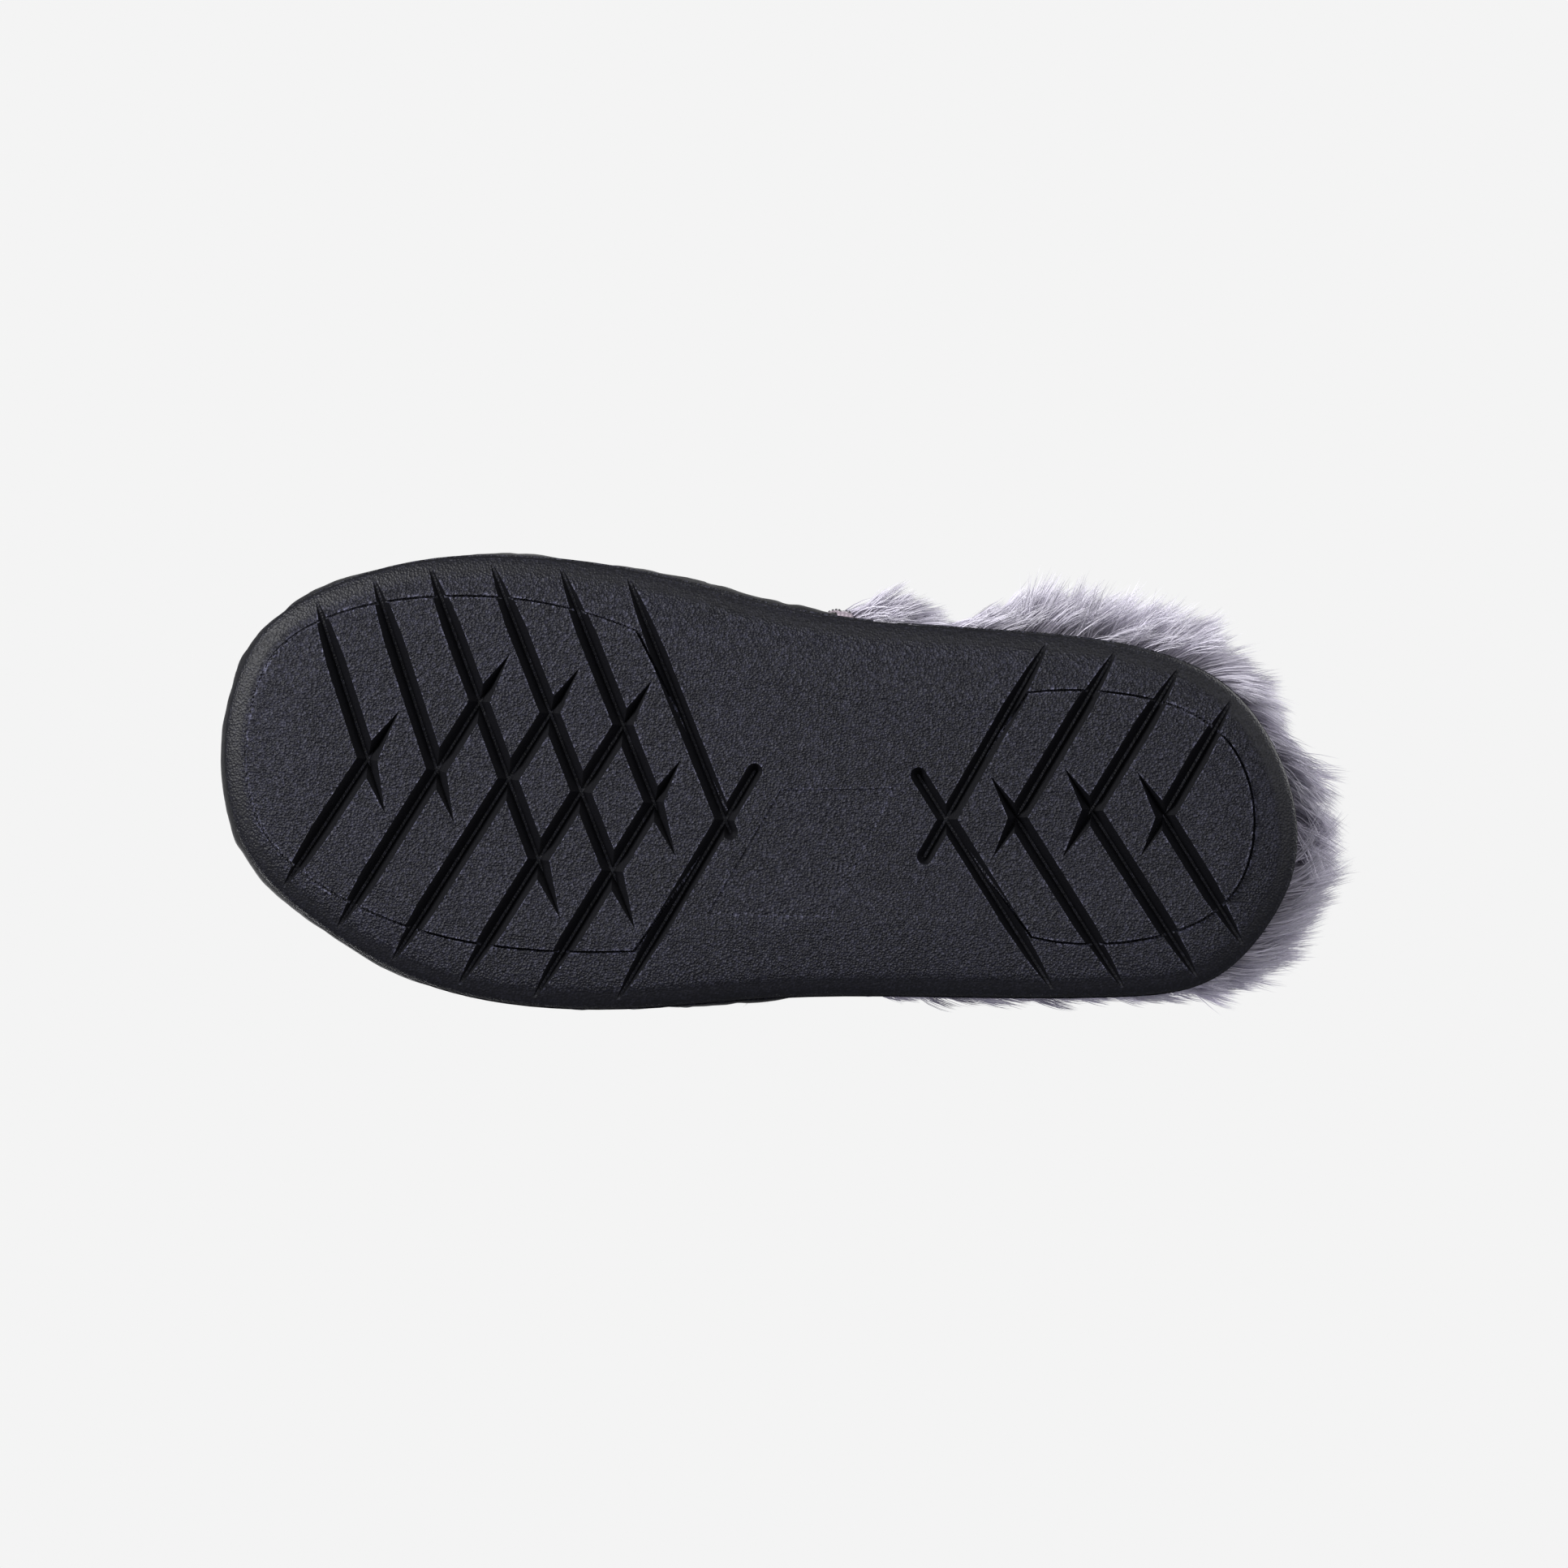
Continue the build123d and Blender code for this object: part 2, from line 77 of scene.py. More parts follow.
SWELL_FADE = (28, 32)  # above this height it fades away, over this much more height
HEEL = len(STATIONS)  # a place along the foot runs from 0 at the toe tip to HEEL at the heel tip


def smooth(t):
    """Soft step from 0 to 1."""
    t = np.clip(t, 0, 1)
    return t * t * (3 - 2 * t)


def rise(values, start, span):
    """Soft step from 0 to 1 that begins at start and takes span."""
    return smooth((values - start) / span)


def unit(vectors):
    """Vectors at length 1."""
    return vectors / np.maximum(np.linalg.norm(vectors, axis=-1, keepdims=True), 1e-9)


def natural_spline(xs, ys):
    """Smooth curve through points, as a function of x."""
    xs, ys = np.asarray(xs, float), np.asarray(ys, float)
    n = len(xs)
    h = np.diff(xs)
    matrix, right = np.zeros((n, n)), np.zeros(n)
    matrix[0, 0] = matrix[-1, -1] = 1
    for i in range(1, n - 1):
        matrix[i, i - 1 : i + 2] = h[i - 1], 2 * (h[i - 1] + h[i]), h[i]
        right[i] = 6 * ((ys[i + 1] - ys[i]) / h[i] - (ys[i] - ys[i - 1]) / h[i - 1])
    bend = np.linalg.solve(matrix, right)

    def at(x):
        x = np.asarray(x, float)
        i = np.clip(np.searchsorted(xs, x) - 1, 0, n - 2)
        a, b = (xs[i + 1] - x) / h[i], (x - xs[i]) / h[i]
        curl = ((a**3 - a) * bend[i] + (b**3 - b) * bend[i + 1]) * h[i] ** 2 / 6
        return a * ys[i] + b * ys[i + 1] + curl

    return at


def closed_spline(points):
    """Smooth closed curve through points: a function that gives places and directions at point numbers."""
    points = np.asarray(points, float)
    n = len(points)
    h = np.linalg.norm(np.roll(points, -1, 0) - points, axis=1)
    matrix, right = np.zeros((n, n)), np.zeros((n, 2))
    for i in range(n):
        before, after = (i - 1) % n, (i + 1) % n
        matrix[i, before] = 1 / h[before]
        matrix[i, i] = 2 / h[before] + 2 / h[i]
        matrix[i, after] = 1 / h[i]
        right[i] = 3 * (points[i] - points[before]) / h[before] ** 2
        right[i] += 3 * (points[after] - points[i]) / h[i] ** 2
    slope = np.linalg.solve(matrix, right)

    def at(number):
        number = np.asarray(number, float) % n
        i = np.minimum(number.astype(int), n - 1)
        j, t, span = (i + 1) % n, (number - i)[..., None], h[i][..., None]
        place = (
            (1 + 2 * t) * (1 - t) ** 2 * points[i] + t * (1 - t) ** 2 * span * slope[i]
            + t**2 * (3 - 2 * t) * points[j] + t**2 * (t - 1) * span * slope[j]
        )
        way = (
            6 * t * (t - 1) * points[i] + (1 - t) * (1 - 3 * t) * span * slope[i]
            + 6 * t * (1 - t) * points[j] + t * (3 * t - 2) * span * slope[j]
        )
        return place, way / np.linalg.norm(way, axis=-1, keepdims=True)

    return at


ring_points = [(row[2], row[0]) for row in reversed(STATIONS)] + [(row[1], row[0]) for row in STATIONS]
outline = closed_spline(ring_points)
crown_of = natural_spline(
    [0] + [k + 0.5 for k in range(HEEL)] + [HEEL],
    [TOE_CROWN] + [row[3] for row in STATIONS] + [HEEL_CROWN],
)
topline_of = natural_spline(*zip(*TOPLINE))

# The frame's origin is the middle of the whole object, so the sole says where these sizes lie in it.
around, _ = outline(np.linspace(0, 2 * HEEL, 2000))
sole_low, sole_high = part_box("outsole")
sole_middle = np.array([(sole_low[i] + sole_high[i]) / 2 for i in range(2)]) / MM
SHIFT = np.array([*(sole_middle - (around.min(0) + around.max(0)) / 2), 0.0])


def framed(points):
    """Points in millimetres of the slipper's own drawing, as metres in the frame."""
    return (np.asarray(points) + SHIFT) * MM


def rim(side, place, inset):
    """Points on the sole's outline at places along one side, moved in by inset."""
    at, way = outline(HEEL - 0.5 - side * place)
    return at + np.asarray(inset)[..., None] * np.stack([-way[..., 1], way[..., 0]], -1)


def wall(side, place, climb, depth):
    """Points on the upper: climb 0 is its lower edge and 1 its crown, depth is how far inside its face."""
    depth = np.broadcast_to(np.asarray(depth, float), place.shape)
    foot = rim(side, place, UPPER_INSET + depth)
    middle = (rim(LATERAL, place, UPPER_INSET + depth) + rim(MEDIAL, place, UPPER_INSET + depth)) / 2
    crown = crown_of(place) - depth
    flat = 1 - climb
    out = flat**3 + 3 * flat**2 * climb + 3 * flat * climb**2 * FULLNESS
    up = 3 * flat**2 * climb * FULLNESS + 3 * flat * climb**2 + climb**3
    plan = middle + out[..., None] * (foot - middle)
    return np.concatenate([plan, (UPPER_BASE + (crown - UPPER_BASE) * up)[..., None]], -1)


PLACES = np.linspace(0, HEEL, 521)
CLIMBS = np.linspace(0, 1, 241)


def climb_limits(side):
    """For each place, the climb at the visible upper's foot and the climb where the topline is met."""
    grid_place, grid_climb = np.meshgrid(PLACES, CLIMBS, indexing="ij")
    points = wall(side, grid_place, grid_climb, 0.0)
    bottom, top = [], []
    for row in points:
        bottom.append(np.interp(UPPER_FOOT, row[:, 2], CLIMBS))
        gap = topline_of(np.clip(row[:, 1], TOPLINE[0][0], TOPLINE[-1][0])) - row[:, 2]
        gap = np.where(row[:, 1] > TOPLINE[-1][0], 1.0, gap)
        crossed = np.nonzero(gap < 0)[0]
        if len(crossed) == 0:
            top.append(1.0)
            continue
        k = max(crossed[0], 1)
        part = gap[k - 1] / (gap[k - 1] - gap[k])
        top.append(CLIMBS[k - 1] + part * (CLIMBS[k] - CLIMBS[k - 1]))
    return np.array(bottom), np.array(top)


LIMITS = {side: climb_limits(side) for side in (MEDIAL, LATERAL)}
THROAT = PLACES[np.nonzero(LIMITS[MEDIAL][1] < 1)[0][0]]


def upper(side, place, share, depth=0.0):
    """Points on the upper by share of the height from its foot to the topline."""
    bottom, top = LIMITS[side]
    low, high = np.interp(place, PLACES, bottom), np.interp(place, PLACES, top)
    return wall(side, place, low + share * (high - low), depth)


def swell(points):
    """How far the padded upper stands out over the sole, most just above the lip."""
    x, y, height = points[..., 0], points[..., 1], points[..., 2]
    above = rise(height, SOLE_TOP, 6) * (1 - rise(height, *SWELL_FADE))
    start = np.where(x > 0, SWELL_STARTS[LATERAL], SWELL_STARTS[MEDIAL])
    amount = SWELL_HEEL + (SWELL_FRONT - SWELL_HEEL) * rise(y, start, 30)
    corners = rise(y, 85, 35) * (1 - rise(y, 124, 8))
    return above * (amount + SWELL_TOE * corners)


def shell(side, place, share, depth=0.0):
    """Points on the upper with its swelling over the sole."""
    return upper(side, place, share, depth - swell(upper(side, place, share)))


def seam_y(height, shift):
    """Where the side seam, moved forwards by shift, lies at a height."""
    slope = (SEAM_TOP[0] - SEAM_FOOT[0]) / (SEAM_TOP[1] - SEAM_FOOT[1])
    return SEAM_FOOT[0] + slope * (height - SEAM_FOOT[1]) + shift


def seam_place(side, shares, shift):
    """The place along the foot where the moved seam crosses each share of the height."""
    found = []
    for share in shares:
        points = upper(side, PLACES, np.full_like(PLACES, share))
        ahead = points[:, 1] - seam_y(points[:, 2], shift)
        k = np.nonzero(ahead < 0)[0][0]
        part = ahead[k - 1] / (ahead[k - 1] - ahead[k])
        found.append(PLACES[k - 1] + part * (PLACES[k] - PLACES[k - 1]))
    return np.array(found)


# ---------------------------------------------------------------- mesh helpers
def mesh_object(name, points, faces):
    """A new smooth-shaded object from points in millimetres."""
    mesh = bpy.data.meshes.new(name)
    mesh.from_pydata(framed(points).tolist(), [], faces)
    mesh.update()
    mesh.polygons.foreach_set("use_smooth", [True] * len(mesh.polygons))
    made = bpy.data.objects.new(name, mesh)
    bpy.context.scene.collection.objects.link(made)
    return made


def grid_faces(rows, columns, wrap=False, start=0):
    """Quads of a grid of points, row by row, and with wrap the last row joined to the first."""
    faces = []
    for i in range(rows if wrap else rows - 1):
        here, there = start + i * columns, start + ((i + 1) % rows) * columns
        for j in range(columns - 1):
            faces.append((here + j, there + j, there + j + 1, here + j + 1))
    return faces


def weld(made):
    """Joins points that coincide, and turns all faces outwards."""
    near = 0.02 * MM
    work = bmesh.new()
    work.from_mesh(made.data)
    bmesh.ops.remove_doubles(work, verts=work.verts, dist=near)
    bmesh.ops.dissolve_degenerate(work, edges=work.edges, dist=near)
    bmesh.ops.recalc_face_normals(work, faces=work.faces)
    work.to_mesh(made.data)
    work.free()


def thicken(made, thickness, offset=-1.0):
    """Gives a sheet its thickness."""
    solid = made.modifiers.new("thickness", "SOLIDIFY")
    solid.thickness = thickness * MM
    solid.offset = offset
    solid.use_even_offset = False


def value_noise(points, size, seed):
    """Smooth noise from -1 to 1 at points, with lumps of about the given size."""
    table = np.random.default_rng(seed).uniform(-1, 1, (32, 32, 32))
    scaled = np.asarray(points) / size
    cell = np.floor(scaled).astype(int)
    part = scaled - cell
    part = part * part * (3 - 2 * part)
    total = 0.0
    for corner in np.ndindex(2, 2, 2):
        index = (cell + corner) % 32
        weight = np.prod(np.where(np.array(corner) == 1, part, 1 - part), axis=-1)
        total = total + weight * table[index[..., 0], index[..., 1], index[..., 2]]
    return total


def lumps(points, layers):
    """Unevenness of a soft face: noise in layers, each (size of a lump, its height, seed)."""
    return sum(value_noise(points, size, seed) * height for size, height, seed in layers)


# ---------------------------------------------------------------- materials
def new_material(name, roughness, specular, sheen=0.0):
    """A node material, with its tree and its shader."""
    made = bpy.data.materials.new(name)
    made.use_nodes = True
    tree = made.node_tree
    shader = tree.nodes["Principled BSDF"]
    shader.inputs["Roughness"].default_value = roughness
    shader.inputs["Specular IOR Level"].default_value = specular
    shader.inputs["Sheen Weight"].default_value = sheen
    return made, tree, shader


def add_node(tree, kind, **values):
    """Adds a node, setting its properties and, by name, its inputs."""
    made = tree.nodes.new(kind)
    for key, value in values.items():
        if hasattr(made, key):
            setattr(made, key, value)
        else:
            made.inputs[key.replace("_", " ")].default_value = value
    return made


def ramp(tree, source, stops):
    """Colour ramp over a value."""
    made = tree.nodes.new("ShaderNodeValToRGB")
    while len(made.color_ramp.elements) < len(stops):
        made.color_ramp.elements.new(0.5)
    for element, (position, colour) in zip(made.color_ramp.elements, stops):
        element.position = position
        element.color = (*colour, 1)
    tree.links.new(source, made.inputs["Fac"])
    return made.outputs["Color"]


def bump(tree, shader, sources, distance):
    """Bumps in a chain, each (height socket, strength)."""
    last = None
    for height, strength in sources:
        made = add_node(tree, "ShaderNodeBump", Strength=strength, Distance=distance)
        tree.links.new(height, made.inputs["Height"])
        if last is not None:
            tree.links.new(last, made.inputs["Normal"])
        last = made.outputs["Normal"]
    tree.links.new(last, shader.inputs["Normal"])


def srgb(*levels):
    """Linear colour of 8-bit screen levels."""
    shares = [level / 255 for level in levels]
    return tuple(v / 12.92 if v <= 0.04045 else ((v + 0.055) / 1.055) ** 2.4 for v in shares)


def calculate(tree, operation, *values):
    """Maths node whose inputs are sockets or numbers."""
    made = add_node(tree, "ShaderNodeMath", operation=operation)
    for socket, value in zip(made.inputs, values):
        if isinstance(value, (int, float)):
            socket.default_value = value
        else:
            tree.links.new(value, socket)
    return made.outputs[0]


def edge_mask(tree, radius):
    """1 along edges that are sharper than the radius, in mm, and 0 on open faces."""
    rounded = tree.nodes.new("ShaderNodeBevel")
    rounded.samples = 6
    rounded.inputs["Radius"].default_value = radius * MM
    flat = tree.nodes.new("ShaderNodeNewGeometry")
    dot = add_node(tree, "ShaderNodeVectorMath", operation="DOT_PRODUCT")
    tree.links.new(rounded.outputs["Normal"], dot.inputs[0])
    tree.links.new(flat.outputs["Normal"], dot.inputs[1])
    return between(tree, dot.outputs["Value"], 1.0, 0.86)


def between(tree, value, low, high):
    """0 below low, 1 above high and even between them; the other way round where low is the larger."""
    made = add_node(tree, "ShaderNodeMapRange", From_Min=low, From_Max=high)
    tree.links.new(value, made.inputs["Value"])
    return made.outputs["Result"]


def smooth_shaded_flank_mask(tree, coordinates):
    """1 on the flanks and beds of the grooves and the steep foot of the rim, which get painted shade and a
    weaker grain bump, 0 on grained faces.
    """
    slope = tree.nodes.new("ShaderNodeSeparateXYZ")
    spot = tree.nodes.new("ShaderNodeSeparateXYZ")
    surface = tree.nodes.new("ShaderNodeNewGeometry")
    tree.links.new(surface.outputs["True Normal"], slope.inputs[0])
    tree.links.new(coordinates, spot.inputs[0])
    groove_start, groove_full = 2.8 * MM, 3.4 * MM
    downward = calculate(tree, "MULTIPLY", slope.outputs[2], -1.0)
    steep = calculate(tree, "MULTIPLY", between(tree, downward, 0.8, 0.6), between(tree, downward, 0.1, 0.3))
    deep = between(tree, spot.outputs[2], groove_start, groove_full)
    bed = calculate(tree, "MULTIPLY", between(tree, downward, 0.6, 0.8), deep)
    return calculate(tree, "MAXIMUM", steep, calculate(tree, "MULTIPLY", bed, 0.75))


def blend_colours(tree, share, first, second):
    """Mix of two colours, each a socket or a linear colour."""
    made = add_node(tree, "ShaderNodeMix", data_type="RGBA")
    tree.links.new(share, made.inputs["Factor"])
    for socket, colour in zip((made.inputs[6], made.inputs[7]), (first, second)):
        if isinstance(colour, tuple):
            socket.default_value = (*colour, 1)
        else:
            tree.links.new(colour, socket)
    return made.outputs[2]


def rubber_material():
    """Dark moulded rubber with a fine leather grain, painted glints on its grain that gather along its edges
    as a painted highlight, and painted shade in the grooves.
    """
    made, tree, shader = new_material("sole_rubber", roughness=0.5, specular=0.35)
    coordinates = add_node(tree, "ShaderNodeTexCoord").outputs["Object"]
    grain = add_node(tree, "ShaderNodeTexVoronoi", Scale=1750.0)
    pores = add_node(tree, "ShaderNodeTexNoise", Scale=2400.0, Detail=3.0)
    cloud = add_node(tree, "ShaderNodeTexNoise", Scale=55.0, Detail=3.0)
    for node in (grain, pores, cloud):
        tree.links.new(coordinates, node.inputs["Vector"])
    body = ramp(tree, cloud.outputs["Fac"], [(0.3, srgb(*RUBBER_DARK)), (0.7, srgb(*RUBBER_LIGHT))])
    cells = add_node(tree, "ShaderNodeSeparateColor")
    tree.links.new(grain.outputs["Color"], cells.inputs[0])
    # light specks on the grain cells are painted glints, and the edge mask adds more of them along edges as a
    # painted highlight
    glint_cells = calculate(tree, "POWER", cells.outputs[0], 3.0)
    edge = edge_mask(tree, 1.3)
    share = calculate(tree, "MULTIPLY", glint_cells, calculate(tree, "MULTIPLY_ADD", edge, 0.6, 0.14))
    tone_with_glints = blend_colours(tree, share, body, srgb(*RUBBER_PAINTED_GLINT))
    # groove flanks, beds and the rim's steep foot: darker colour as painted shade, and a smoother bump
    smooth_shaded_flank = smooth_shaded_flank_mask(tree, coordinates)
    colour = blend_colours(tree, smooth_shaded_flank, tone_with_glints, srgb(*RUBBER_FLANK_SHADE))
    tree.links.new(colour, shader.inputs["Base Color"])
    rough = add_node(tree, "ShaderNodeMapRange", To_Min=0.4, To_Max=0.62)
    tree.links.new(pores.outputs["Fac"], rough.inputs["Value"])
    tree.links.new(rough.outputs["Result"], shader.inputs["Roughness"])
    depth = calculate(tree, "MULTIPLY_ADD", smooth_shaded_flank, -0.85, 1.0)
    coarse = calculate(tree, "MULTIPLY", grain.outputs["Distance"], depth)
    fine = calculate(tree, "MULTIPLY", pores.outputs["Fac"], depth)
    bump(tree, shader, [(coarse, 0.85), (fine, 0.5)], 0.0005)
    return made


def fabric_material(name, dark, light, thread, sheen=0.3, depth=0.35):
    """Fine woven or brushed cloth: threads of a given width in mm, two tones."""
    made, tree, shader = new_material(name, roughness=0.9, specular=0.2, sheen=sheen)
    coordinates = add_node(tree, "ShaderNodeTexCoord").outputs["Object"]
    nap = add_node(tree, "ShaderNodeTexNoise", Scale=1000 / thread, Detail=5.0)
    patches = add_node(tree, "ShaderNodeTexNoise", Scale=60.0, Detail=3.0)
    for node in (nap, patches):
        tree.links.new(coordinates, node.inputs["Vector"])
    share = calculate(tree, "MULTIPLY", patches.outputs["Fac"], 0.4)
    tone = calculate(tree, "MULTIPLY_ADD", nap.outputs["Fac"], 0.6, share)
    colour = ramp(tree, tone, [(0.38, dark), (0.62, light)])
    tree.links.new(colour, shader.inputs["Base Color"])
    bump(tree, shader, [(nap.outputs["Fac"], depth)], 0.0003)
    return made


def tape_material(name, dark, light):
    """Woven tape: crossing threads."""
    pitch = 0.5  # from thread to thread, in mm
    made, tree, shader = new_material(name, roughness=0.85, specular=0.25, sheen=0.3)
    coordinates = add_node(tree, "ShaderNodeTexCoord").outputs["Object"]
    heights = []
    for direction in ("Y", "Z"):
        wave = add_node(tree, "ShaderNodeTexWave", bands_direction=direction, Distortion=0.6)
        wave.inputs["Scale"].default_value = 500 / pitch / math.pi
        tree.links.new(coordinates, wave.inputs["Vector"])
        heights.append(wave.outputs["Fac"])
    cross = calculate(tree, "MULTIPLY", *heights)
    colour = ramp(tree, cross, [(0.0, dark), (1.0, light)])
    tree.links.new(colour, shader.inputs["Base Color"])
    bump(tree, shader, [(cross, 0.5)], 0.0002)
    return made


def fur_material(name, root, body, tip):
    """Pile: each strand darkens towards its root, and strands and tufts differ in tone."""
    made, tree, shader = new_material(name, roughness=0.62, specular=0.25, sheen=0.25)
    along = add_node(tree, "ShaderNodeAttribute", attribute_name="along")
    tone = add_node(tree, "ShaderNodeAttribute", attribute_name="tone")
    colour = ramp(tree, along.outputs["Fac"], [(0.0, root), (0.55, body), (1.0, tip)])
    level = add_node(tree, "ShaderNodeMapRange", To_Min=0.62, To_Max=1.25)
    tree.links.new(tone.outputs["Fac"], level.inputs["Value"])
    mix = add_node(tree, "ShaderNodeVectorMath", operation="SCALE")
    tree.links.new(colour, mix.inputs[0])
    tree.links.new(level.outputs["Result"], mix.inputs["Scale"])
    tree.links.new(mix.outputs[0], shader.inputs["Base Color"])
    return made


def foam_material(name, dark, light, cell=0.8):
    """Open cell foam."""
    made, tree, shader = new_material(name, roughness=0.95, specular=0.2)
    coordinates = add_node(tree, "ShaderNodeTexCoord").outputs["Object"]
    cells = add_node(tree, "ShaderNodeTexVoronoi", Scale=1000 / cell)
    tree.links.new(coordinates, cells.inputs["Vector"])
    colour = ramp(tree, cells.outputs["Distance"], [(0.0, dark), (0.6, light)])
    tree.links.new(colour, shader.inputs["Base Color"])
    bump(tree, shader, [(cells.outputs["Distance"], 0.5)], 0.0004)
    return made


RUBBER_DARK = (10, 10, 19)
RUBBER_LIGHT = (15, 15, 26)
# light specks on the grain: painted glints
RUBBER_PAINTED_GLINT = (126, 126, 152)
# flanks and beds of the grooves and the rim's steep foot: painted shade
RUBBER_FLANK_SHADE = (8, 8, 13)
rubber = rubber_material()
vamp_cloth = fabric_material("vamp_fabric", srgb(11, 11, 13), srgb(27, 27, 30), thread=0.45, sheen=0.12)
plush = fabric_material("plush_lining", srgb(118, 114, 124), srgb(170, 165, 176), thread=1.4, depth=0.8)
tape_cloth = tape_material("binding_tape", srgb(134, 122, 131), srgb(184, 170, 179))
thread_cloth = fabric_material("thread", srgb(34, 32, 36), srgb(62, 58, 64), thread=0.25)
foam_soft = foam_material("soft_foam", srgb(104, 101, 110), srgb(136, 132, 142))
board_pulp = fabric_material("fibre_board", srgb(140, 118, 88), srgb(176, 154, 120), thread=0.9, sheen=0.0)
stiff_sheet = foam_material("stiffener", srgb(206, 206, 200), srgb(232, 232, 228), cell=0.4)
fur_colour = fur_material("fur_pile", srgb(164, 158, 172), srgb(219, 215, 227), srgb(242, 239, 247))
fur_ground = fabric_material("fur_backing", srgb(136, 131, 144), srgb(176, 171, 184), thread=1.0, depth=0.8)

CAD_LOOKS = {
    "outsole": rubber, "midsole_foam": foam_soft, "footbed_foam": foam_soft, "insole_board": board_pulp,
    "strobel_stitches": thread_cloth, "toe_puff": stiff_sheet, "heel_counter": stiff_sheet,
    "vamp_padding": foam_soft, "quarter_padding": foam_soft, "collar_foam": foam_soft,
    "back_seam_tape": tape_cloth,
}
for node_name, look in CAD_LOOKS.items():
    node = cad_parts[node_name]
    if not node.material_slots:
        node.data.materials.append(look)
    for material_slot in node.material_slots:
        material_slot.link = "OBJECT"
        material_slot.material = look


# ---------------------------------------------------------------- the upper's sheets
# Unevenness of the faces, in layers of (size of a lump, its height, seed)
VAMP_PUCKERS = [(3.2, 0.7, 5)]
VAMP_FOLDS = [(17.0, 1.0, 6)]
VAMP_DENTS = [(7.0, 0.3, 7)]
LINING_LUMPS = [(2.0, 0.35, 8), (9.0, 0.4, 9)]
BED_LUMPS = [(2.0, 0.3, 12), (8.0, 0.25, 13)]
PUCKER_REACH = 8  # how far up from the sole the puckers fade
BED_HOLLOWS = [(-92, 34, 1.1), (52, 30, 0.7)]  # under the heel and the ball: y, reach along the foot, depth
BED_HOLLOW_RIM = 22  # from the bed's edge to where the hollows have their full depth
BED_ROLL_WIDTH = 3.5  # the bed's edge rolls down over this width
BED_ROLL_DROP = 1.3
BACKING_DEPTH = 0.4


def front_places(side, shares, rows, shift=0.0):
    """Rows of places on the front: the same on both sides up to the throat, then on to the side seam."""
    seam = seam_place(side, shares, shift)
    ahead = THROAT * np.linspace(0, 1, rows // 2) ** 1.4
    behind = np.linspace(0, 1, rows - rows // 2 + 1)[1:]
    return np.concatenate([
        np.repeat(ahead[:, None], len(shares), 1),
        THROAT + behind[:, None] * (seam[None, :] - THROAT),
    ])


def front_sheet(name, surface, rows, columns):
    """The front of the upper as one sheet, from the toe tip to the side seams."""
    points, faces = [], []
    shares = np.linspace(0, 1, columns)
    for side in (MEDIAL, LATERAL):
        places = front_places(side, shares, rows)
        faces += grid_faces(rows, columns, start=len(points))
        points += surface(side, places, np.broadcast_to(shares, places.shape)).reshape(-1, 3).tolist()
    made = mesh_object(name, points, faces)
    weld(made)
    return made


def rear_grid(shares, rows, shift=0.0):
    """Places along the medial side from seam to heel tip, then along the lateral side back to its seam."""
    sides, places = [], []
    for side in (MEDIAL, LATERAL):
        seam = seam_place(side, shares, shift)
        fractions = 1 - np.linspace(0, 1, rows) ** 1.2
        run = HEEL + (seam[None, :] - HEEL) * fractions[:, None]
        if side == LATERAL:
            run = run[::-1][1:]
        sides.append(np.full(run.shape, side))
        places.append(run)
    return np.concatenate(sides), np.concatenate(places)


def on_sides(surface, sides, places, shares):
    """Points of a surface where each spot has its own side."""
    medial, lateral = surface(MEDIAL, places, shares), surface(LATERAL, places, shares)
    return np.where((sides == MEDIAL)[..., None], medial, lateral)


def rear_sheet(name, surface, rows=110, columns=36):
    """The back of the upper as one sheet, from one side seam round the heel to the other."""
    shares = np.linspace(0, 1, columns)
    sides, places = rear_grid(shares, rows)
    sheet = on_sides(surface, sides, places, np.broadcast_to(shares, places.shape))
    made = mesh_object(name, sheet.reshape(-1, 3).tolist(), grid_faces(*places.shape))
    weld(made)
    return made


def place_piece(made, slot, look, *nodes):
    """Material, body and the CAD nodes that a piece stands for; the slot argument is not used."""
    made.data.materials.clear()
    made.data.materials.append(look)
    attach(made, "root")
    if nodes:
        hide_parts(*nodes)


def vamp_surface(side, place, share):
    """The vamp's face: soft folds all over, and small puckers where it is gathered into the cup."""
    bare = shell(side, place, share)
    near_sole = np.exp(-np.clip(bare[..., 2] - SOLE_TOP, 0, None) / PUCKER_REACH)
    puckers = lumps(bare * (1, 1, 0.2), VAMP_PUCKERS) * near_sole
    folds = lumps(bare * (0.5, 1.1, 0.5), VAMP_FOLDS) + lumps(bare, VAMP_DENTS)
    return shell(side, place, share, -(puckers + folds))


def plush_surface(side, place, share):
    """The lining's face, lumpy like sheared pile."""
    bare = upper(side, place, share, LINING_DEPTH)
    return upper(side, place, share, LINING_DEPTH + lumps(bare, LINING_LUMPS))


def backing_surface(side, place, share):
    """Knitted back of the fur, under the pile."""
    return shell(side, place, share, BACKING_DEPTH)


